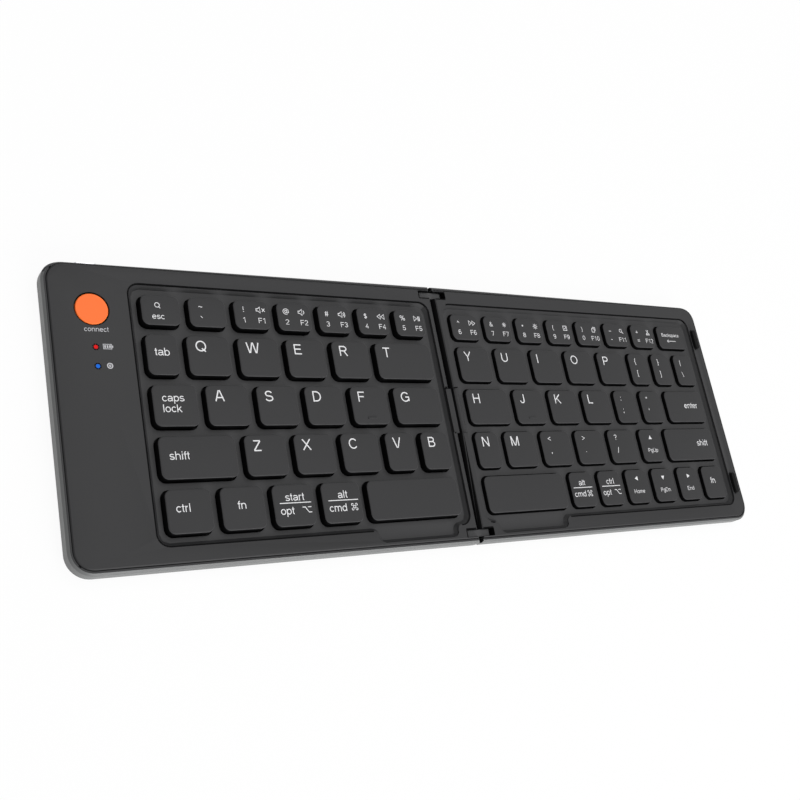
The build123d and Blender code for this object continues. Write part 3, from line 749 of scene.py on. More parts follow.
PEN = 1.15  # width of a stroke on the glyph grid
GLYPHS = {
    "A": Glyph(9.3, "M0.75,0 L4.2,10 M8.55,0 L5.1,10 M2,3.3 L7.3,3.3"),
    "B": Glyph(9.3, "M1.5,0 L1.5,10 M1.5,9.4 L5,9.4 A5,7.35,2.4,2.05,90,-90 L1.5,5.3 M5,5.3 A5.4,2.95,2.6,2.35,90,-90 L1.5,0.6"),
    "C": Glyph(10.1, "A5.2,5,4.1,4.45,38,322"),
    "D": Glyph(10.1, "M1.5,0 L1.5,10 M1.5,9.4 L4.6,9.4 A4.6,5,4.1,4.4,90,-90 L1.5,0.6"),
    "E": Glyph(9.3, "M8.2,9.4 L1.5,9.4 L1.5,0.6 L8.4,0.6 M1.5,5.2 L7.8,5.2"),
    "F": Glyph(8.5, "M8,9.4 L1.5,9.4 L1.5,0 M1.5,5 L7.2,5"),
    "G": Glyph(10.9, "A5.4,5,4.3,4.45,40,322 L9.35,1.8 M5.7,4.9 L9.4,4.9 L9.4,0.9"),
    "H": Glyph(10.1, "M1.5,0 L1.5,10 M8.6,0 L8.6,10 M1.5,5.2 L8.6,5.2"),
    "I": Glyph(3.9, "M1.95,0 L1.95,10"),
    "J": Glyph(7.0, "M5.5,10 L5.5,3 A3.1,3,2.4,2.4,0,-180"),
    "K": Glyph(9.3, "M1.5,0 L1.5,10 M8.3,10 L1.5,3.4 M3.9,5.8 L8.7,0"),
    "L": Glyph(7.8, "M1.5,10 L1.5,0.6 L7.4,0.6"),
    "M": Glyph(11.6, "M1.5,0 L1.5,10 M10.1,0 L10.1,10 M1.8,9.8 L5.5,0.2 M9.8,9.8 L6.1,0.2"),
    "N": Glyph(10.1, "M1.5,0 L1.5,10 M8.6,0 L8.6,10 M1.8,9.6 L8.3,0.4"),
    "O": Glyph(10.9, "A5.45,5,4.35,4.45,0,360 Z"),
    "P": Glyph(9.3, "M1.5,0 L1.5,10 M1.5,9.4 L5.4,9.4 A5.4,7,2.6,2.4,90,-90 L1.5,4.6"),
    "Q": Glyph(10.9, "A5.45,5,4.35,4.45,0,360 Z M6.1,2.9 L9.6,-0.1"),
    "R": Glyph(10.1, "M1.5,0 L1.5,10 M1.5,9.4 L5.7,9.4 A5.7,7.2,2.6,2.2,90,-90 L1.5,5 M5.5,5 L8.9,0"),
    "S": Glyph(9.3, "A4.6,7.2,3.1,2.2,20,245 A4.7,2.85,3.4,2.25,65,-165"),
    "T": Glyph(8.5, "M0.3,9.4 L8.2,9.4 M4.25,9.4 L4.25,0"),
    "U": Glyph(10.1, "M1.5,10 L1.5,3.7 A5.05,3.7,3.55,3.1,180,360 L8.6,10"),
    "V": Glyph(9.3, "M0.7,10 L4.2,0 M8.6,10 L5.1,0"),
    "W": Glyph(13.2, "M0.8,10 L3.2,0 M6.3,10 L3.8,0 M6.9,10 L9.4,0 M12.4,10 L10,0"),
    "X": Glyph(9.3, "M0.8,10 L8.5,0 M8.5,10 L0.8,0"),
    "Y": Glyph(9.3, "M0.8,10 L4.65,4.4 L8.5,10 M4.65,4.6 L4.65,0"),
    "Z": Glyph(8.5, "M0.9,9.4 L7.4,9.4 M7.3,9.2 L1,0.8 M0.8,0.6 L7.8,0.6"),
    "a": Glyph(7.8, "A3.8,5.1,2.55,1.6,165,0 L6.35,1.1 L7.3,0.5 M6.35,4 L3.6,3.75 A3.2,2.15,2.2,1.6,90,300 L6.35,2.2"),
    "b": Glyph(7.8, "M1.3,0 L1.3,10 M A4.05,3.6,2.75,3.1,0,360 Z"),
    "c": Glyph(7.0, "A3.8,3.6,2.8,3.1,42,318"),
    "d": Glyph(7.8, "M6.5,0 L6.5,10 M A3.75,3.6,2.75,3.1,0,360 Z"),
    "e": Glyph(7.8, "M1.4,3.8 L6.9,3.8 M A3.9,3.6,2.9,3.1,-3,322"),
    "f": Glyph(3.9, "M1.9,0 L1.9,8.2 A3.3,8.2,1.4,1.25,180,85 M0.2,6.6 L3.7,6.6"),
    "g": Glyph(7.8, "A3.75,3.7,2.7,3,0,360 Z M6.45,7.2 L6.45,-0.4 A3.85,-0.4,2.6,1.9,0,-160"),
    "h": Glyph(7.8, "M1.3,0 L1.3,10 M A3.9,4.3,2.6,2.4,180,0 L6.5,0"),
    "i": Glyph(3.1, "M1.55,0 L1.55,7.2 M1.55,8.6 L1.55,10"),
    "k": Glyph(7.0, "M1.3,0 L1.3,10 M6.2,7.2 L1.3,2.4 M3.2,4.3 L6.7,0"),
    "l": Glyph(3.1, "M1.55,0 L1.55,10"),
    "m": Glyph(11.6, "M1.3,0 L1.3,7.2 M A3.55,4.6,2.25,2.1,180,0 L5.8,0 M A8.05,4.6,2.25,2.1,180,0 L10.3,0"),
    "n": Glyph(7.8, "M1.3,0 L1.3,7.2 M A3.9,4.3,2.6,2.4,180,0 L6.5,0"),
    "o": Glyph(7.8, "A3.9,3.6,2.95,3.1,0,360 Z"),
    "p": Glyph(7.8, "M1.3,-2.9 L1.3,7.2 M A4.05,3.6,2.75,3.1,0,360 Z"),
    "r": Glyph(4.7, "M1.3,0 L1.3,7.2 M A3.4,4.4,2.1,2.2,180,80"),
    "s": Glyph(7.0, "A3.5,5.2,2.3,1.5,25,250 A3.5,2.1,2.6,1.5,65,-160"),
    "t": Glyph(3.9, "M1.9,9.3 L1.9,1.8 A3.1,1.8,1.2,1.2,180,275 M0.2,6.6 L3.6,6.6"),
    "u": Glyph(7.8, "M1.3,7.2 L1.3,2.9 A3.9,2.9,2.6,2.4,180,360 L6.5,7.2 M6.5,3 L6.5,0"),
    "0": Glyph(7.8, "A3.9,5,2.9,4.45,0,360 Z"),
    "1": Glyph(7.8, "M1.7,7.5 L4.5,9.5 L4.5,0"),
    "2": Glyph(7.8, "A3.9,7.1,2.9,2.35,170,-35 L1,0.6 L7,0.6"),
    "3": Glyph(7.8, "A3.8,7.25,2.6,2.15,160,-80 L3.4,5.2 M4.2,5.2 A3.8,2.9,2.9,2.3,80,-165"),
    "4": Glyph(7.8, "M5.3,0 L5.3,9.3 L0.9,3 M0.6,2.8 L7.2,2.8"),
    "5": Glyph(7.8, "M6.6,9.4 L2.1,9.4 L1.5,5 A3.8,3.2,2.95,2.6,130,-165"),
    "6": Glyph(7.8, "A3.95,3.2,2.85,2.6,0,360 Z M A4.1,5,3,4.45,45,180 L1.1,3.2"),
    "7": Glyph(7.8, "M0.8,9.4 L6.8,9.4 L3,0"),
    "8": Glyph(7.8, "A3.9,7.3,2.4,2.1,0,360 Z M A3.9,2.9,2.9,2.3,0,360 Z"),
    "9": Glyph(7.8, "A3.85,6.8,2.85,2.6,0,360 Z M6.7,6.8 A3.7,5,3,4.45,0,-135"),
    "~": Glyph(8.2, "A2.6,4.4,1.6,1.3,180,30 A5.6,5.6,1.6,1.3,210,360"),
    "`": Glyph(6.0, "M1.6,8 L4.4,4.6"),
    "!": Glyph(3.9, "M1.95,10 L1.95,3.2 M1.95,1.4 L1.95,0"),
    "@": Glyph(13.0, "A6.5,5,5.6,5.2,300,0 M A6.4,5,2.2,2.3,0,360 Z M8.8,7.3 L8.8,4 A10.4,4,1.6,1.3,180,330 L12.1,5"),
    "#": Glyph(7.8, "M2.9,10 L1.7,0 M6.1,10 L4.9,0 M0.4,6.6 L7.4,6.6 M0.4,3.2 L7.4,3.2"),
    "$": Glyph(7.8, "A3.9,6.9,2.5,1.9,25,250 A3.9,3,2.7,1.95,65,-160 M3.9,10.4 L3.9,-0.6"),
    "%": Glyph(12.4, "A2.9,7.4,1.8,2.1,0,360 Z M A9.5,2.6,1.8,2.1,0,360 Z M9,10 L3.4,0"),
    "^": Glyph(6.6, "M1,4.6 L3.3,8.6 L5.6,4.6"),
    "&": Glyph(9.3, "M8.6,0.2 L2.9,6.7 A4.1,7.8,1.55,1.55,220,-35 M5.2,6.7 L2.5,4.7 A3.8,2.7,2.5,2.1,125,330 L7.6,4.8"),
    "*": Glyph(5.4, "M2.7,7.6 L2.7,3.4 M0.9,6.5 L4.5,4.5 M0.9,4.5 L4.5,6.5"),
    "(": Glyph(4.7, "A6,4.4,4.2,7.2,125,235"),
    ")": Glyph(4.7, "A-1.4,4.4,4.2,7.2,55,-55"),
    "_": Glyph(7.8, "M0.6,4 L7.2,4"),
    "-": Glyph(6.0, "M0.8,4.4 L5.2,4.4"),
    "+": Glyph(8.2, "M4.1,8 L4.1,1.4 M0.8,4.7 L7.4,4.7"),
    "=": Glyph(8.2, "M0.8,6.5 L7.4,6.5 M0.8,3.3 L7.4,3.3"),
    "{": Glyph(4.7, "M4.2,10.8 L2.6,9.8 L2.6,5.8 L1.2,4.4 L2.6,3 L2.6,-1 L4.2,-2"),
    "}": Glyph(4.7, "M0.5,10.8 L2.1,9.8 L2.1,5.8 L3.5,4.4 L2.1,3 L2.1,-1 L0.5,-2"),
    "[": Glyph(3.9, "M3.5,10.4 L1.7,10.4 L1.7,-1.8 L3.5,-1.8"),
    "]": Glyph(3.9, "M0.4,10.4 L2.2,10.4 L2.2,-1.8 L0.4,-1.8"),
    "|": Glyph(3.6, "M1.8,10.6 L1.8,-2"),
    "\\": Glyph(3.9, "M0.3,10 L3.6,0"),
    "/": Glyph(3.9, "M0.3,0 L3.6,10"),
    ":": Glyph(3.9, "M1.95,7.2 L1.95,5.7 M1.95,1.5 L1.95,0"),
    ";": Glyph(3.9, "M1.95,7.2 L1.95,5.7 M1.95,1.5 L1.95,0 L1.3,-1.6"),
    '"': Glyph(5.2, "M1.5,7.4 L1.5,4.2 M3.7,7.4 L3.7,4.2"),
    "'": Glyph(2.7, "M1.35,7.4 L1.35,4.2"),
    "<": Glyph(8.2, "M7.2,8 L1.4,5 L7.2,2"),
    ">": Glyph(8.2, "M1,8 L6.8,5 L1,2"),
    ",": Glyph(3.9, "M1.95,4.5 L1.95,3 L1.3,1.4"),
    ".": Glyph(3.9, "M1.95,4.5 L1.95,3"),
    "?": Glyph(7.8, "A3.9,7.3,2.7,2.2,170,-40 L3.95,4.8 L3.95,2.9 M3.95,1.4 L3.95,0"),
}


class Ink:
    """Flat printed shapes, gathered on one cap or cover."""

    def __init__(self, height: float) -> None:
        self.height = height
        self.verts: list[tuple[float, float, float]] = []
        self.faces: list[tuple[int, ...]] = []
        self.layers = 0

    def _add(self, points: Loop, faces: Iterable[tuple[int, ...]]) -> None:
        """Adds one shape, a hair above the last so that no two lie in one plane."""
        start, self.layers = len(self.verts), self.layers + 1
        height = self.height + 0.5e-6 * (self.layers % 12)
        self.verts += [(x, y, height) for x, y in points]
        self.faces += [tuple(start + index for index in face) for face in faces]

    def polygon(self, points: Loop) -> None:
        """Adds one filled shape.

        Args:
            points: Its outline, convex.
        """
        self._add(points, [tuple(range(len(points)))])

    def stroke(self, points: Loop, width: float, closed: bool = False) -> None:
        """Adds a line of even width with mitred corners.

        Args:
            points: The line's corners.
            width: Its width.
            closed: Whether the last point joins the first.
        """
        line = [Vector(point) for point in points]
        count = len(line)
        sides: Loop = []
        for i, point in enumerate(line):
            before = point - line[i - 1] if closed or i else line[1] - point
            after = line[(i + 1) % count] - point if closed or i < count - 1 else before
            before, after = before.normalized(), after.normalized()
            across = Vector((-before.y - after.y, before.x + after.x))
            if across.length < 0.2:
                across = Vector((-before.y, before.x))
            across.normalize()
            reach = min(1 / max(across.dot(Vector((-before.y, before.x))), 0.1), 1.5) * width / 2
            sides += [tuple(point + across * reach), tuple(point - across * reach)]
        ends = count if closed else count - 1
        quads = [(2 * i + 1, 2 * ((i + 1) % count) + 1, 2 * ((i + 1) % count), 2 * i) for i in range(ends)]
        self._add(sides, quads)

    def arc(self, centre: Point, radius: float, start: float, end: float, width: float) -> None:
        """Adds a curved line.

        Args:
            centre: Middle of the circle.
            radius: Its radius.
            start: First angle in degrees.
            end: Last angle in degrees.
            width: Line width.
        """
        steps = max(4, int(abs(end - start) / 20))
        turns = [math.radians(start + (end - start) * step / steps) for step in range(steps + 1)]
        points = [(centre[0] + radius * math.cos(t), centre[1] + radius * math.sin(t)) for t in turns]
        closed = abs(end - start) >= 360
        self.stroke(points[:-1] if closed else points, width, closed)

    def text(self, words: str, size: float, at: Point, align: str = "LEFT") -> None:
        """Adds words whose capitals are size metres high, with their middle line through at.

        Args:
            words: What is printed.
            size: Height of a capital.
            at: Left end, middle or right end of the words.
            align: LEFT, CENTER or RIGHT.
        """
        unit = size / 10
        first = GLYPHS[words[0]].strokes()
        bearing = min(x for line, _ in first for x, _ in line) - PEN / 2
        width = sum(GLYPHS[sign].advance for sign in words)
        x = at[0] - {"LEFT": bearing, "CENTER": width / 2, "RIGHT": width}[align] * unit
        for sign in words:
            for line, closed in GLYPHS[sign].strokes():
                placed = [(x + px * unit, at[1] + (py - 5) * unit) for px, py in line]
                self.stroke(placed, PEN * unit, closed)
            x += GLYPHS[sign].advance * unit

    def build(self, name: str, finish: bpy.types.Material) -> bpy.types.Object:
        """Makes one object of all the shapes.

        Args:
            name: Object's name.
            finish: Ink material.

        Returns:
            The object, facing up.
        """
        mesh = bpy.data.meshes.new(name)
        mesh.from_pydata(self.verts, [], self.faces)
        bm = bmesh.new()
        bm.from_mesh(mesh)
        for face in bm.faces:
            face.normal_update()
            if face.normal.z < 0:
                face.normal_flip()
        bm.to_mesh(mesh)
        bm.free()
        mesh.materials.append(finish)
        return new_object(name, mesh)


def draw_icon(ink: Ink, icon: Icon, at: Point, size: float) -> None:
    """Draws one mark.

    Args:
        ink: Where it is printed.
        icon: Which mark.
        at: Its middle.
        size: Its height.
    """
    x, y = at
    line, half = size * 0.11, size / 2

    def to(px: float, py: float) -> Point:
        return x + px * half, y + py * half

    def speaker() -> None:
        ink.stroke([to(-1.5, -0.35), to(-1.0, -0.35), to(-0.3, -0.95), to(-0.3, 0.95), to(-1.0, 0.35),
                    to(-1.5, 0.35)], line, closed=True)

    def chevrons(sign: int) -> None:
        for shift in (-0.85, 0.55):
            tip, foot = shift * sign + 0.75 * sign, shift * sign - 0.35 * sign
            ink.stroke([to(foot, 0.8), to(tip, 0.0), to(foot, -0.8)], line, closed=True)

    if icon is Icon.MUTE:
        speaker()
        ink.stroke([to(0.3, 0.5), to(1.2, -0.5)], line)
        ink.stroke([to(0.3, -0.5), to(1.2, 0.5)], line)
    elif icon in (Icon.QUIETER, Icon.LOUDER):
        speaker()
        for reach in (0.6, 1.1) if icon is Icon.LOUDER else (0.7,):
            ink.arc(to(-0.3, 0), reach * half, -50, 50, line)
    elif icon in (Icon.BACK, Icon.FORWARD):
        chevrons(1 if icon is Icon.FORWARD else -1)
    elif icon is Icon.PLAY:
        ink.stroke([to(-1.2, 0.8), to(-0.1, 0.0), to(-1.2, -0.8)], line, closed=True)
        for px in (0.35, 0.85):
            ink.stroke([to(px, 0.8), to(px, -0.8)], line * 1.3)
    elif icon in (Icon.DIMMER, Icon.BRIGHTER):
        core = 0.4 if icon is Icon.BRIGHTER else 0.32
        ink.arc(at, core * half, 0, 360, line)
        for turn in range(0, 360, 45):
            c, s = math.cos(math.radians(turn)), math.sin(math.radians(turn))
            reach = 1.0 if icon is Icon.BRIGHTER else 0.8
            ink.stroke([to(c * (core + 0.22), s * (core + 0.22)), to(c * reach, s * reach)], line)
    elif icon is Icon.SEARCH:
        ink.arc(to(-0.2, 0.2), 0.6 * half, 0, 360, line)
        ink.stroke([to(0.25, -0.25), to(0.9, -0.9)], line * 1.3)
    elif icon is Icon.SELECT:
        ink.stroke([to(-0.8, -0.8), to(0.8, -0.8), to(0.8, 0.8), to(-0.8, 0.8)], line, closed=True)
        ink.stroke([to(-0.4, 0.0), to(-0.1, -0.35), to(0.5, 0.4)], line)
    elif icon is Icon.COPY:
        ink.stroke([to(-0.8, -0.9), to(0.4, -0.9), to(0.4, 0.4), to(-0.8, 0.4)], line, closed=True)
        ink.stroke([to(-0.4, 0.9), to(0.8, 0.9), to(0.8, -0.4)], line)
    elif icon is Icon.CUT:
        ink.stroke([to(-0.5, 1.0), to(0.4, -0.4)], line)
        ink.stroke([to(0.5, 1.0), to(-0.4, -0.4)], line)
        for px in (-0.5, 0.5):
            ink.arc(to(px, -0.7), 0.28 * half, 0, 360, line)
    elif icon is Icon.HOME:
        ink.arc(at, 0.72 * half, 0, 360, line)
        ink.stroke([to(0.35, -0.55), to(0.9, -1.0)], line)
    elif icon is Icon.OPTION:
        ink.stroke([to(-1.5, 0.8), to(-0.6, 0.8), to(0.5, -0.8), to(1.5, -0.8)], line * 1.2)
        ink.stroke([to(0.3, 0.8), to(1.5, 0.8)], line * 1.2)
    elif icon is Icon.COMMAND:
        ink.stroke([to(-0.4, -0.4), to(0.4, -0.4), to(0.4, 0.4), to(-0.4, 0.4)], line, closed=True)
        for px, py, start in ((0.72, 0.72, -90), (-0.72, 0.72, 0), (-0.72, -0.72, 90), (0.72, -0.72, 180)):
            ink.arc(to(px, py), 0.32 * half, start, start + 270, line)
    elif icon is Icon.BATTERY:
        ink.stroke([to(-1.6, -0.85), to(1.3, -0.85), to(1.3, 0.85), to(-1.6, 0.85)], line, closed=True)
        ink.stroke([to(1.65, -0.4), to(1.65, 0.4)], line * 1.6)
        for px in (-1.0, -0.15, 0.7):
            ink.stroke([to(px, -0.5), to(px, 0.5)], line * 2.4)
    elif icon is Icon.WAVES:
        ink.arc(at, 0.16 * half, 0, 360, line * 2.4)
        ink.arc(at, 0.82 * half, 0, 360, line * 1.5)


@dataclass(frozen=True)
class Cap:
    """Where a legend goes: the top face of one key cap."""

    left: float
    right: float
    front: float
    back: float

    @property
    def middle(self) -> Point:
        """Centre of the face."""
        return (self.left + self.right) / 2, (self.front + self.back) / 2


@dataclass(frozen=True)
class Blank:
    """A cap with nothing on it."""

    def draw(self, ink: Ink, cap: Cap) -> None:
        """Prints nothing."""


@dataclass(frozen=True)
class Letter(Blank):
    """A large letter in the upper left corner."""

    text: str
    left: float = 3.1 * MM
    top: float = 1.95 * MM
    height: float = 3.95 * MM

    def draw(self, ink: Ink, cap: Cap) -> None:
        """Prints the letter."""
        ink.text(self.text, self.height, (cap.left + self.left, cap.back - self.top - self.height / 2))


@dataclass(frozen=True)
class Stack(Blank):
    """Two signs, one above the other."""

    upper: str
    lower: str
    left: float = 3.9 * MM
    rows: tuple[float, float] = (3.7 * MM, 9.4 * MM)
    height: float = 2.4 * MM

    def draw(self, ink: Ink, cap: Cap) -> None:
        """Prints the signs."""
        for sign, down in zip((self.upper, self.lower), self.rows):
            ink.text(sign, self.height, (cap.left + self.left, cap.back - down), "CENTER")


@dataclass(frozen=True)
class Numbered(Blank):
    """A number-row cap: shifted sign and number, and a mark with its function name."""

    upper: str
    lower: str
    icon: Icon | None = None
    function: str = ""
    left: float = 3.65 * MM

    def draw(self, ink: Ink, cap: Cap) -> None:
        """Prints the four legends."""
        high, low = cap.back - 3.5 * MM, cap.back - 7.6 * MM
        left, right, height = cap.left + self.left, cap.left + 10.6 * MM, 2.05 * MM
        ink.text(self.upper, height, (left, high), "CENTER")
        ink.text(self.lower, height, (left, low), "CENTER")
        if self.icon:
            draw_icon(ink, self.icon, (right, high), 2.5 * MM)
            ink.text(self.function, height, (right, low), "CENTER")


@dataclass(frozen=True)
class Word(Blank):
    """One or two lines of small letters, at the left, middle or right."""

    lines: tuple[str, ...]
    align: str = "LEFT"
    side: float = 3.3 * MM
    height: float = 2.8 * MM
    raised: float = 0.65 * MM
    shift: float = 0.0

    def draw(self, ink: Ink, cap: Cap) -> None:
        """Prints the lines about the cap's middle."""
        middle = cap.middle[0] + self.shift
        places = {"LEFT": cap.left + self.side, "CENTER": middle, "RIGHT": cap.right - self.side}
        pitch = 3.75 * MM
        first = cap.middle[1] + self.raised + pitch * (len(self.lines) - 1) / 2
        for number, line in enumerate(self.lines):
            ink.text(line, self.height, (places[self.align], first - number * pitch), self.align)


@dataclass(frozen=True)
class Split(Blank):
    """Two words with a line between them and a mark beside the lower one."""

    upper: str
    lower: str
    icon: Icon
    width: float
    height: float = 2.75 * MM
    shift: float = 0.0

    def draw(self, ink: Ink, cap: Cap) -> None:
        """Prints the words, the line and the mark."""
        x, y = cap.middle[0] + self.shift, cap.middle[1] + 0.8 * MM
        half = self.width / 2
        ink.text(self.upper, self.height, (x, y + 2.1 * MM), "CENTER")
        ink.stroke([(x - half, y), (x + half, y)], 0.32 * MM)
        ink.text(self.lower, self.height, (x - half, y - 2.6 * MM))
        draw_icon(ink, self.icon, (x + half - 1.9 * MM, y - 2.6 * MM), 2.3 * MM)


@dataclass(frozen=True)
class Arrow(Blank):
    """A solid triangle with a small name below it."""

    turn: float
    caption: str

    def draw(self, ink: Ink, cap: Cap) -> None:
        """Prints the triangle and the name."""
        x, y, reach = cap.middle[0], cap.back - 3.9 * MM, 1.15 * MM
        corners = [math.radians(self.turn + step) for step in (0, 120, 240)]
        ink.polygon([(x + reach * math.cos(t), y + reach * math.sin(t)) for t in corners])
        ink.text(self.caption, 1.75 * MM, (x, cap.back - 9.5 * MM), "CENTER")


@dataclass(frozen=True)
class Escape(Blank):
    """The escape cap, with a small mark above its name."""

    def draw(self, ink: Ink, cap: Cap) -> None:
        """Prints the mark and the name."""
        x = cap.left + 5.7 * MM
        draw_icon(ink, Icon.HOME, (x, cap.back - 3.7 * MM), 2.3 * MM)
        ink.text("esc", 2.1 * MM, (x, cap.back - 7.8 * MM), "CENTER")


@dataclass(frozen=True)
class Backspace(Blank):
    """The backspace cap, with an arrow below its name."""

    def draw(self, ink: Ink, cap: Cap) -> None:
        """Prints the name and the arrow."""
        x, y = cap.middle[0] - 0.7 * MM, cap.back - 7.2 * MM
        ink.text("Backspace", 1.7 * MM, (x, cap.back - 4.2 * MM), "CENTER")
        ink.stroke([(x - 2.8 * MM, y), (x + 2.8 * MM, y)], 0.25 * MM)
        ink.stroke([(x - 1.9 * MM, y + 0.7 * MM), (x - 2.8 * MM, y), (x - 1.9 * MM, y - 0.7 * MM)], 0.25 * MM)


LEGENDS: dict[str, tuple[Blank, ...]] = {
    "esc_key": (Escape(),),
    "number_keys_left": (
        Numbered("~", "`", left=4.4 * MM),
        Numbered("!", "1", Icon.MUTE, "F1"),
        Numbered("@", "2", Icon.QUIETER, "F2"),
        Numbered("#", "3", Icon.LOUDER, "F3"),
        Numbered("$", "4", Icon.BACK, "F4"),
        Numbered("%", "5", Icon.PLAY, "F5"),
    ),
    "number_keys_right": (
        Numbered("^", "6", Icon.FORWARD, "F6"),
        Numbered("&", "7", Icon.DIMMER, "F7"),
        Numbered("*", "8", Icon.BRIGHTER, "F8"),
        Numbered("(", "9", Icon.SELECT, "F9"),
        Numbered(")", "0", Icon.COPY, "F10"),
        Numbered("_", "-", Icon.SEARCH, "F11"),
        Numbered("+", "=", Icon.CUT, "F12"),
    ),
    "backspace_key": (Backspace(),),
    "tab_key": (Word(("tab",), side=2.6 * MM, raised=0.95 * MM),),
    "qwer_keys": tuple(Letter(text) for text in "QWER"),
    "t_key": (Letter("T"),),
    "yuiop_keys": tuple(Letter(text) for text in "YUIOP"),
    "bracket_keys": (Stack("{", "["), Stack("}", "]"), Stack("|", "\\")),
    "caps_lock_key": (Word(("caps", "lock"), height=2.7 * MM, raised=0.8 * MM),),
    "asd_keys": tuple(Letter(text) for text in "ASD"),
    "f_key": (Letter("F"),),
    "g_key": (Letter("G"),),
    "h_key": (Letter("H"),),
    "j_key": (Letter("J"),),
    "kl_keys": (Letter("K"), Letter("L")),
    "punctuation_keys": (Stack(":", ";", rows=(3.3 * MM, 8.8 * MM)), Stack('"', "'", rows=(3.3 * MM, 8.8 * MM))),
    "enter_key": (Word(("enter",), "RIGHT", side=4.2 * MM),),
    "left_shift_key": (Word(("shift",)),),
    "zxc_keys": tuple(Letter(text) for text in "ZXC"),
    "v_key": (Letter("V"),),
    "b_key": (Letter("B"),),
    "n_key": (Letter("N"),),
    "m_comma_keys": (
        Letter("M"),
        Stack("<", ",", left=4.5 * MM, rows=(3.3 * MM, 9.0 * MM)),
        Stack(">", ".", left=4.6 * MM, rows=(3.3 * MM, 9.0 * MM)),
        Stack("?", "/", left=4.3 * MM, rows=(3.3 * MM, 9.0 * MM)),
    ),
    "up_key": (Arrow(90, "PgUp"),),
    "right_shift_key": (Word(("shift",), "RIGHT", side=4.2 * MM),),
    "left_modifier_keys": (
        Word(("ctrl",), raised=1.15 * MM),
        Word(("fn",), "CENTER", raised=1.1 * MM, shift=-0.45 * MM),
        Split("start", "opt", Icon.OPTION, 12.1 * MM, shift=0.5 * MM),
        Split("alt", "cmd", Icon.COMMAND, 12.1 * MM, shift=0.5 * MM),
    ),
    "left_space_key": (Blank(),),
    "right_space_key": (Blank(),),
    "right_modifier_keys": (
        Split("alt", "cmd", Icon.COMMAND, 10.4 * MM, height=2.45 * MM),
        Split("ctrl", "opt", Icon.OPTION, 10.4 * MM, height=2.45 * MM),
    ),
    "navigation_keys": (Arrow(180, "Home"), Arrow(270, "PgDn"), Arrow(0, "End")),
    "right_fn_key": (Word(("fn",), "CENTER", raised=0.9 * MM, shift=-0.65 * MM),),
}


# ---------------------------------------------------------------- sub-assemblies
@dataclass
class KeyField:
    """All the caps of both halves, with their legends."""

    frame: Frame
    instancer: Instancer
    finish: bpy.types.Material
    side_shade: bpy.types.Material
    ink: bpy.types.Material
    corner: float = 2.45 * MM
    edge: float = 0.45 * MM
    wall: float = 0.9 * MM
    print_height: float = 0.015 * MM

    def build(self) -> None:
        """Makes each node's caps and prints its legends."""
        for node, legends in LEGENDS.items():
            boxes = self.frame.islands(node)
            if len(boxes) != len(legends):
                raise ValueError(f"{node} has {len(boxes)} caps and {len(legends)} legends")
            self._caps(node, boxes)
            self._print(node, boxes, legends)
        LOG.info("printed %d key nodes", len(LEGENDS))

    def _caps(self, node: str, boxes: Sequence[Box]) -> None:
        """Rounded caps in place of the node's faceted ones."""
        sizes: dict[tuple[float, float], list[Box]] = {}
        for box in boxes:
            sizes.setdefault((round(box.size.x, 6), round(box.size.y, 6)), []).append(box)
        made = []
        for number, ((width, length), group) in enumerate(sizes.items()):
            body = self._cap_height(node, group[0])
            roof = body - 1.0 * MM
            sections = [
                Section(self.wall + 0.6 * MM, roof),
                Section(self.wall, roof),
                Section(self.wall, 0.0),
                Section(0.0, 0.0),
                *edge_round(body, self.edge),
            ]
            mesh = lofted(f"{node}_cap", width, length, self.corner, sections)
            places = [Vector((box.centre.x, box.centre.y, box.low.z)) for box in group]
            name = f"{node}_caps_{number}" if len(sizes) > 1 else f"{node}_caps"
            # Faces of the caps that look sideways or down take the near-black side finish: painted shade.
            made.append(self.instancer.build(name, mesh, places, self.finish, self.side_shade))
        for obj in made:
            self.frame.stand_in(obj, node)
        if node in HOMING_KEYS:
            self._homing_bar(node, boxes[0])

    def _cap_height(self, node: str, box: Box) -> float:
        """Height of a cap without its homing bar."""
        bar = HOMING_BAR if node in HOMING_KEYS else 0.0
        return box.size.z - bar

    def _homing_bar(self, node: str, box: Box) -> None:
        """The raised bar that the forefinger feels for."""
        top = box.high.z
        sections = [Section(0.0, -0.4 * MM), *edge_round(0.0, 0.18 * MM)]
        mesh = lofted(f"{node}_bar", 4.0 * MM, 0.6 * MM, 0.28 * MM, sections)
        place = Vector((box.centre.x, box.low.y + 2.45 * MM, top))
        obj = self.instancer.build(f"{node}_homing_bar", mesh, [place], self.finish, self.finish)
        self.frame.add_to(obj, node)

    def _print(self, node: str, boxes: Sequence[Box], legends: Sequence[Blank]) -> None:
        """All the legends of one node in one object."""
        height = boxes[0].low.z + self._cap_height(node, boxes[0]) + self.print_height
        ink = Ink(height)
        for box, legend in zip(boxes, legends):
            legend.draw(ink, Cap(box.low.x, box.high.x, box.low.y, box.high.y))
        if ink.faces:
            obj = ink.build(f"{node}_legends", self.ink)
            self.frame.add_to(obj, node)


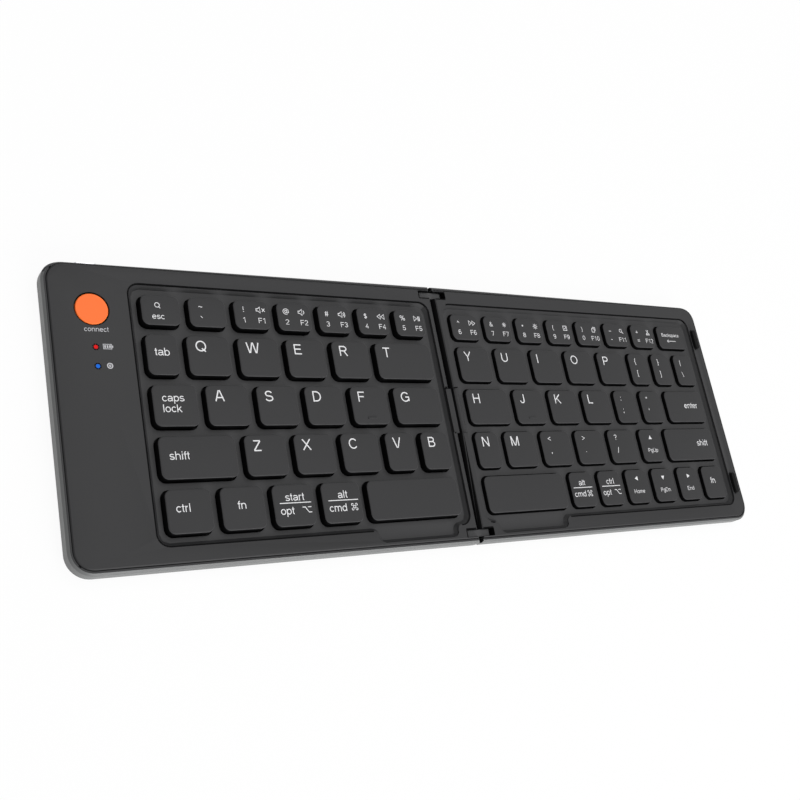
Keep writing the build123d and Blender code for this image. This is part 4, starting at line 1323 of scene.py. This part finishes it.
@dataclass
class KeySprings:
    """Dome sheets and scissor links, split by the caps above them."""

    frame: Frame
    finishes: dict[str, bpy.types.Material]
    sheet_top: float = 2.7 * MM
    roof: float = 1.0 * MM
    gap: float = 0.05 * MM

    def build(self) -> None:
        """Splits the sheets and links of both halves by the caps above them."""
        caps = {node: self.frame.islands(node) for node in LEGENDS}
        for half in ("left", "right"):
            for node in (f"{half}_dome_sheet", f"{half}_scissor_links"):
                self._split(node, caps)
        LOG.info("split the springs of %d key nodes", len(caps))

    def _owner(self, face: bmesh.types.BMFace, caps: dict[str, list[Box]]) -> str:
        """Key node under whose cap a face lies, or nothing for the flat sheet."""
        if all(vert.co.z < self.sheet_top + 1e-6 for vert in face.verts):
            return ""
        place = face.calc_center_median().xy
        near = [(self._distance(place, box), node) for node, boxes in caps.items() for box in boxes]
        return min(near)[1]

    def _distance(self, place: Vector, box: Box) -> float:
        """How far a place lies outside a cap's outline."""
        outside = Vector(max(box.low[i] - place[i], place[i] - box.high[i], 0.0) for i in range(2))
        return outside.length

    def _split(self, node: str, caps: dict[str, list[Box]]) -> None:
        """Makes a piece of what lies under each key node's caps, on the sheet's body."""
        whole = self.frame.merged_mesh(node)
        owners = [self._owner(face, caps) for face in whole.faces]
        for owner in sorted(set(owners)):
            part = whole.copy()
            rest = [face for face, name in zip(part.faces, owners) if name != owner]
            bmesh.ops.delete(part, geom=rest, context="FACES")
            mesh = bpy.data.meshes.new(node)
            part.to_mesh(mesh)
            part.free()
            mesh.materials.append(self.finishes[self.frame.slot[node]])
            obj = new_object(f"{node}_{owner or 'flat'}", mesh)
            self.frame.stand_in(obj, node)
            if owner:
                self._tie(obj)
        whole.free()

    def _tie(self, obj: bpy.types.Object) -> None:
        """Gives a piece its own copy of its mesh."""
        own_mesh(obj)


@dataclass
class FlexCable:
    """Flat cable between the halves, in two straight pieces."""

    frame: Frame
    finish: bpy.types.Material
    reach: float = 1.6 * MM
    steps: int = 24

    def build(self) -> None:
        """Cuts the cable in two midway between the pins."""
        box = self.frame.box("flex_cable")
        for side, near, far in (("left", box.low.x, 0.0), ("right", 0.0, box.high.x)):
            obj = new_object(f"flex_cable_{side}", self._strip(near, far, box))
            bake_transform(obj)
            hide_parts("flex_cable")
        LOG.info("laid the flat cable")

    def _strip(self, near: float, far: float, box: Box) -> bpy.types.Mesh:
        """Thin strip along X, cut into steps."""
        bm = bmesh.new()
        rings = []
        for step in range(self.steps + 1):
            x = near + (far - near) * step / self.steps
            corners = ((box.low.y, box.low.z), (box.high.y, box.low.z), (box.high.y, box.high.z), (box.low.y, box.high.z))
            rings.append([bm.verts.new((x, y, z)) for y, z in corners])
        for first, second in zip(rings, rings[1:]):
            for i in range(4):
                bm.faces.new((first[i - 1], first[i], second[i], second[i - 1]))
        bm.faces.new(rings[0])
        bm.faces.new(rings[-1])
        bmesh.ops.recalc_face_normals(bm, faces=bm.faces)
        mesh = bpy.data.meshes.new("flex_cable_strip")
        bm.to_mesh(mesh)
        bm.free()
        mesh.materials.append(self.finish)
        return mesh


@dataclass
class Housing:
    """Shells, covers, feet and bumpers."""

    frame: Frame
    finishes: dict[str, bpy.types.Material]
    shade_paint: bpy.types.Material
    deck: bpy.types.Material
    opening_corner: float = 3.0 * MM
    well_corner: float = 4.0 * MM
    rim_drop: float = 0.3 * MM
    rim_width: float = 3.0 * MM
    well_depth: float = 1.75 * MM
    deck_thickness: float = 1.2 * MM
    # Widths of the painted shadow strips along the walls' upper edges.
    shadow_line_width: float = 0.5 * MM
    fine_seam: float = 0.15 * MM
    fold_width: float = 8.0 * MM
    fold_shade: float = 0.7
    lean_width: float = 5.0 * MM
    back_lean: float = 0.9 * MM
    end_lean: float = 0.5 * MM
    softened: dict[str, float] = field(
        default_factory=lambda: {
            "left_bottom_shell": 0.18 * MM,
            "right_bottom_shell": 0.18 * MM,
            "left_top_cover": 0.14 * MM,
            "right_top_cover": 0.14 * MM,
            "rear_hinge_link": 0.2 * MM,
            "front_hinge_link": 0.2 * MM,
            "connect_button": 0.12 * MM,
            "closing_bumpers": 0.25 * MM,
            "left_feet": 0.2 * MM,
            "right_feet": 0.2 * MM,
        }
    )

    def build(self) -> None:
        """Copies each visible moulding with softened edges."""
        for node, radius in self.softened.items():
            self._soften(node, radius)
        LOG.info("softened %d mouldings", len(self.softened))

    def _soften(self, node: str, radius: float) -> None:
        """Copy of a node with small rounds on its sharp edges."""
        bm = self.frame.merged_mesh(node)
        bmesh.ops.dissolve_limit(bm, angle_limit=math.radians(0.5), verts=bm.verts, edges=bm.edges)
        cover, shell = node.endswith("top_cover"), node.endswith("bottom_shell")
        if cover:
            self._round_corners(bm, (self.opening_corner, self.well_corner))
            top = self.frame.box(node).high.z
            for height in (top, top - self.well_depth, top - self.well_depth - self.deck_thickness):
                self._refill(bm, height)
            self._seam(bm, node, top)
        elif shell:
            cover_top = self.frame.box(node.replace("bottom_shell", "top_cover")).high.z
            self._seam(bm, node, cover_top - self.rim_drop)
        mesh = bpy.data.meshes.new(f"{node}_soft")
        bm.to_mesh(mesh)
        bm.free()
        for polygon in mesh.polygons:
            polygon.use_smooth = True
        mesh.set_sharp_from_angle(angle=math.radians(28))
        mesh.materials.append(self.finishes[self.frame.slot[node]])
        obj = new_object(f"{node}_soft", mesh)
        bevel = obj.modifiers.new("edges", "BEVEL")
        bevel.width, bevel.segments, bevel.limit_method = radius, 2, "ANGLE"
        bevel.angle_limit, bevel.harden_normals = math.radians(28), True
        bevel.use_clamp_overlap = True
        applied(obj)
        mark_edges(obj.data, radius)
        if cover:
            self._paint_cover(obj.data, self.frame.box(node))
        elif shell:
            self._paint_shell(obj.data)
            self._lean(obj.data, self.frame.box(node))
        self.frame.stand_in(obj, node)

    def _round_corners(self, bm: bmesh.types.BMesh, radii: Sequence[float]) -> None:
        """Turns the two flats at each corner of the openings and the well into an arc."""
        flats: list[bmesh.types.BMEdge] = []
        arcs: list[tuple[Vector, Vector, float]] = []
        for edge in bm.edges:
            along = edge.verts[1].co - edge.verts[0].co
            walls = [face for face in edge.link_faces if abs(face.normal.z) < 0.1]
            if abs(along.z) > 1e-7 or min(abs(along.x), abs(along.y)) < 0.5 * MM or not walls:
                continue
            for radius in radii:
                if abs(along.length - 2 * radius * math.sin(math.pi / 8)) < 0.02 * MM:
                    middle = (edge.verts[0].co + edge.verts[1].co) / 2
                    centre = middle + walls[0].normal * radius * math.cos(math.pi / 8)
                    flats.append(edge)
                    arcs.append((middle, centre, radius))
        cut = bmesh.ops.subdivide_edges(bm, edges=flats, cuts=3, use_grid_fill=True)
        for vert in (item for item in cut["geom_inner"] if isinstance(item, bmesh.types.BMVert)):
            _, centre, radius = min(arcs, key=lambda arc: (arc[0] - vert.co).length_squared)
            vert.co = centre + (vert.co - centre).normalized() * radius
        LOG.info("rounded %d corners", len(flats) // 4)

    def _refill(self, bm: bmesh.types.BMesh, height: float) -> None:
        """Fills the flat faces at one height anew, round all the holes in them."""
        flat = {face for face in bm.faces if all(abs(vert.co.z - height) < 1e-6 for vert in face.verts)}
        if not flat:
            return
        upward = next(iter(flat)).normal.z > 0
        edges = {edge for face in flat for edge in face.edges}
        outline = [edge for edge in edges if sum(face in flat for face in edge.link_faces) == 1]
        inner = [edge for edge in edges if all(face in flat for face in edge.link_faces)]
        bmesh.ops.delete(bm, geom=list(flat), context="FACES_ONLY")
        bmesh.ops.delete(bm, geom=inner, context="EDGES")
        filled = bmesh.ops.triangle_fill(bm, edges=outline, use_beauty=True)
        for face in filled["geom"]:
            if isinstance(face, bmesh.types.BMFace):
                face.normal_update()
                if (face.normal.z > 0) != upward:
                    face.normal_flip()

    def _seam(self, bm: bmesh.types.BMesh, node: str, height: float) -> None:
        """Painted shadow: a dark strip along the upper edges of the upright walls that end at one height."""
        box, button = self.frame.box(node), self.frame.box("connect_button").centre
        verts: list[Vector] = []
        for face in bm.faces:
            if abs(face.normal.z) > 0.1:
                continue
            for edge in face.edges:
                ends = [vert.co for vert in edge.verts]
                if face.normal.x > 0.3 and 0 < ends[0].x < 2 * self.fold_width:
                    continue
                if any(abs(end.z - height) > 1e-6 for end in ends) or edge.calc_length() < 0.45 * MM:
                    continue
                middle = (ends[0] + ends[1]) / 2
                fine = self._depth_inside(middle, box) < self.rim_width or (middle - button).xy.length < 8 * MM
                width = self.fine_seam if fine else self.shadow_line_width
                back = face.normal * -width
                lift = Vector((0, 0, 0.012 * MM))
                verts += [ends[0] + lift, ends[1] + lift, ends[1] + back + lift, ends[0] + back + lift]
        mesh = bpy.data.meshes.new(f"{node}_seam")
        mesh.from_pydata(verts, [], [tuple(range(i, i + 4)) for i in range(0, len(verts), 4)])
        line = bmesh.new()
        line.from_mesh(mesh)
        for face in line.faces:
            face.normal_update()
            if face.normal.z < 0:
                face.normal_flip()
        line.to_mesh(mesh)
        line.free()
        mesh.materials.append(self.shade_paint)
        self.frame.add_to(new_object(f"{node}_seam", mesh), node)

    def _lean(self, mesh: bpy.types.Mesh, box: Box) -> None:
        """Draws the back wall, and the right half's end wall, in towards their upper edges."""

        def share(gap: float, width: float) -> float:
            return min(max(1 - gap / width, 0.0), 1.0) ** 2

        for vert in mesh.vertices:
            rise = (vert.co.z - box.low.z) / box.size.z
            clear_of_fold = 1 - share(max(abs(vert.co.x) - self.fold_width, 0.0), self.fold_width)
            back = share(box.high.y - vert.co.y, self.lean_width) * clear_of_fold
            end = share(box.high.x - vert.co.x, self.lean_width) if box.centre.x > 0 else 0.0
            vert.co.y -= self.back_lean * rise * back
            vert.co.x -= self.end_lean * rise * end

    def _depth_inside(self, point: Vector, box: Box) -> float:
        """How far a point lies inside the outline of a box."""
        return min(point.x - box.low.x, box.high.x - point.x, point.y - box.low.y, box.high.y - point.y)

    def _paint_cover(self, mesh: bpy.types.Mesh, box: Box) -> None:
        """Paints shade in near black on the steep faces, in the openings and at the fold, and paints light on the deck
        with a paler copy of the cover's finish.
        """
        mesh.materials.append(self.shade_paint)
        mesh.materials.append(self.deck)
        deck_top = box.high.z - self.well_depth
        for polygon in mesh.polygons:
            centre, normal = polygon.center, polygon.normal
            opening = centre.z < deck_top + 0.05 * MM or self._depth_inside(centre, box) < self.rim_width
            # Painted shade: steep walls in the openings, walls that face the front, and the sides beside the keys.
            if abs(normal.z) < 0.5 and (opening or normal.y < -0.5) or abs(normal.x) > 0.93 and opening:
                polygon.material_index = 1
            # Painted shade on the right half's faces that turn towards the fold.
            elif box.low.x > -self.fold_width and centre.x < self.fold_width and normal.x < -self.fold_shade:
                polygon.material_index = 1
            # Painted light on the deck.
            elif abs(centre.z - deck_top) < 0.2 * MM:
                polygon.material_index = 2

    def _paint_shell(self, mesh: bpy.types.Mesh) -> None:
        """Gives the rim's top and the slanted back and lower edges the cover's darker finish, which on these edges is
        painted shade, and paints shade in near black on the walls at the fold.
        """
        mesh.materials.append(self.finishes["cover"])
        mesh.materials.append(self.shade_paint)
        for polygon in mesh.polygons:
            normal, near_fold = polygon.normal, abs(polygon.center.x) < self.fold_width
            # Painted shade on the back and lower slanted edges, in the cover's darker finish; the rim's top takes that
            # finish too.
            if normal.z > 0.9 or normal.z > 0.3 and normal.y > 0.3 or -0.9 < normal.z < -0.3 and not near_fold:
                polygon.material_index = 1
            # Painted shade in near black on the walls at the fold.
            elif near_fold and (abs(normal.x) > 0.93 or normal.x < -self.fold_shade):
                polygon.material_index = 2


@dataclass
class ControlStrip:
    """Printed names and marks beside the connect button and the lights."""

    frame: Frame
    ink: bpy.types.Material

    def build(self) -> None:
        """Prints the strip."""
        button, cover = self.frame.box("connect_button"), self.frame.box("left_top_cover")
        ink = Ink(cover.high.z + 0.015 * MM)
        x = button.centre.x
        ink.text("connect", 1.68 * MM, (x + 0.8 * MM, button.centre.y - 7.15 * MM), "CENTER")
        for light, icon, size in (
            ("charge_light", Icon.BATTERY, 1.9 * MM),
            ("pairing_light", Icon.WAVES, 2.1 * MM),
        ):
            place = self.frame.box(light).centre
            draw_icon(ink, icon, (place.x + 4.0 * MM, place.y + 0.2 * MM), size)
        self.frame.add_to(ink.build("strip_print", self.ink), "left_top_cover")


@dataclass
class Studio:
    """Camera, floor, lamps and background."""

    camera_at: tuple[float, float, float] = (-252.83 * MM, -109.45 * MM, 327.35 * MM)
    right: tuple[float, float, float] = (0.83075263, -0.18150999, 0.52621687)
    down: tuple[float, float, float] = (0.00377596, -0.94348269, -0.3314003)
    ahead: tuple[float, float, float] = (0.55662897, 0.27729864, -0.78311535)
    lens_mm: float = 48.576
    sensor_mm: float = 36.0

    def build(self) -> None:
        """Sets up everything round the object."""
        self._camera()
        self._world()
        self._floor()
        self._lamp("front_lamp", (0.35, -1.25, 0.5), 1.0, 15.0)
        self._lamp("top_lamp", (0.2, 0.4, 1.3), 1.0, 6.8)
        bpy.context.scene.view_settings.view_transform = "Standard"

    def _camera(self) -> None:
        """The photograph's camera."""
        data = bpy.data.cameras.new("camera")
        data.lens, data.sensor_width, data.sensor_fit = self.lens_mm, self.sensor_mm, "HORIZONTAL"
        data.clip_start, data.clip_end = 0.01, 20.0
        camera = bpy.data.objects.new("camera", data)
        bpy.context.scene.collection.objects.link(camera)
        columns = Matrix((self.right, [-part for part in self.down], [-part for part in self.ahead]))
        camera.matrix_world = Matrix.Translation(self.camera_at) @ columns.transposed().to_4x4()
        bpy.context.scene.camera = camera

    def _world(self) -> None:
        """White wherever it is seen, and a soft sky that is brighter in front for the light."""
        world = bpy.data.worlds.new("studio")
        bpy.context.scene.world = world
        world.use_nodes = True
        tree = world.node_tree
        tree.nodes.clear()
        add, join = tree.nodes.new, tree.links.new
        path, output = add("ShaderNodeLightPath"), add("ShaderNodeOutputWorld")
        white, sky, mix = add("ShaderNodeBackground"), add("ShaderNodeBackground"), add("ShaderNodeMixShader")
        white.inputs["Color"].default_value = (1, 1, 1, 1)
        sky.inputs["Color"].default_value = (1, 1, 1, 1)
        place, towards, level = add("ShaderNodeTexCoord"), add("ShaderNodeVectorMath"), add("ShaderNodeMapRange")
        towards.operation = "DOT_PRODUCT"
        towards.inputs[1].default_value = (0.45, -0.85, 0.28)
        join(place.outputs["Generated"], towards.inputs[0])
        join(towards.outputs["Value"], level.inputs["Value"])
        level.inputs["From Min"].default_value, level.inputs["From Max"].default_value = -1.0, 1.0
        level.inputs["To Min"].default_value, level.inputs["To Max"].default_value = 0.0, 0.9
        join(level.outputs["Result"], sky.inputs["Strength"])
        seen, shown = add("ShaderNodeMath"), add("ShaderNodeMath")
        seen.operation = shown.operation = "MAXIMUM"
        join(path.outputs["Is Camera Ray"], seen.inputs[0])
        join(path.outputs["Is Glossy Ray"], seen.inputs[1])
        join(seen.outputs[0], shown.inputs[0])
        join(path.outputs["Is Transmission Ray"], shown.inputs[1])
        join(shown.outputs[0], mix.inputs[0])
        join(sky.outputs[0], mix.inputs[1])
        join(white.outputs[0], mix.inputs[2])
        join(mix.outputs[0], output.inputs["Surface"])

    def _floor(self) -> None:
        """Pale floor that stays white in the picture and keeps a soft shadow."""
        bm = bmesh.new()
        bmesh.ops.create_circle(bm, cap_ends=True, segments=64, radius=4.0)
        mesh = bpy.data.meshes.new("floor")
        bm.to_mesh(mesh)
        bm.free()
        shader = Shader("floor_paint")
        speckle = shader.noise(60 * MM)
        plain = shader.node(
            "ShaderNodeBsdfDiffuse", Color=shader.mix(speckle, (0.88, 0.88, 0.88, 1.0), (0.9, 0.9, 0.9, 1.0))
        )
        bright = shader.node("ShaderNodeEmission", Color=(1.0, 1.0, 1.0, 1.0), Strength=1.0)
        path = shader.node("ShaderNodeLightPath")
        seen, shown = shader.node("ShaderNodeMath"), shader.node("ShaderNodeMath")
        seen.operation = shown.operation = "MAXIMUM"
        shader.tree.links.new(path.outputs["Is Camera Ray"], seen.inputs[0])
        shader.tree.links.new(path.outputs["Is Glossy Ray"], seen.inputs[1])
        shader.tree.links.new(seen.outputs[0], shown.inputs[0])
        shader.tree.links.new(path.outputs["Is Transmission Ray"], shown.inputs[1])
        mix = shader.node("ShaderNodeMixShader")
        shader.tree.links.new(shader.ramp(shown.outputs[0], 0.0, 0.94), mix.inputs[0])
        shader.tree.links.new(plain.outputs[0], mix.inputs[1])
        shader.tree.links.new(bright.outputs[0], mix.inputs[2])
        mesh.materials.append(shader.finish(mix))
        floor = new_object("floor", mesh)
        floor.location.z = -0.05 * MM

    def _lamp(self, name: str, at: tuple[float, float, float], size: float, power: float) -> None:
        """Square soft lamp that faces the object."""
        data = bpy.data.lights.new(name, "AREA")
        data.size, data.energy = size, power
        lamp = bpy.data.objects.new(name, data)
        lamp.location = at
        lamp.rotation_euler = (-Vector(at)).to_track_quat("-Z", "Y").to_euler()
        bpy.context.scene.collection.objects.link(lamp)


@dataclass
class Keyboard:
    """The whole object."""

    frame: Frame
    finishes: dict[str, bpy.types.Material]

    def build(self) -> None:
        """Paints every node and adds the finished pieces."""
        for node, obj in self.frame.nodes.items():
            obj.data.materials.clear()
            obj.data.materials.append(self.finishes[self.frame.slot[node]])
        Housing(self.frame, self.finishes, SHADE_PAINT.build(), DECK_LIGHT_PAINT.build()).build()
        KeyField(self.frame, Instancer(), self.finishes["key_cap"], CAP_SIDE_SHADE.build(), INK.build()).build()
        KeySprings(self.frame, self.finishes).build()
        FlexCable(self.frame, self.finishes["cable_film"]).build()
        ControlStrip(self.frame, STRIP_INK.build()).build()


def main() -> None:
    """Builds the scene."""
    logging.basicConfig(level=logging.INFO, format="%(name)s: %(message)s")
    for obj in list(bpy.data.objects):
        bpy.data.objects.remove(obj)
    frame = Frame()
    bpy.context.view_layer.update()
    finishes = {slot: finish.build() for slot, finish in FINISHES.items()}
    Keyboard(frame, finishes).build()
    Studio().build()


if __name__ == "__main__":
    main()
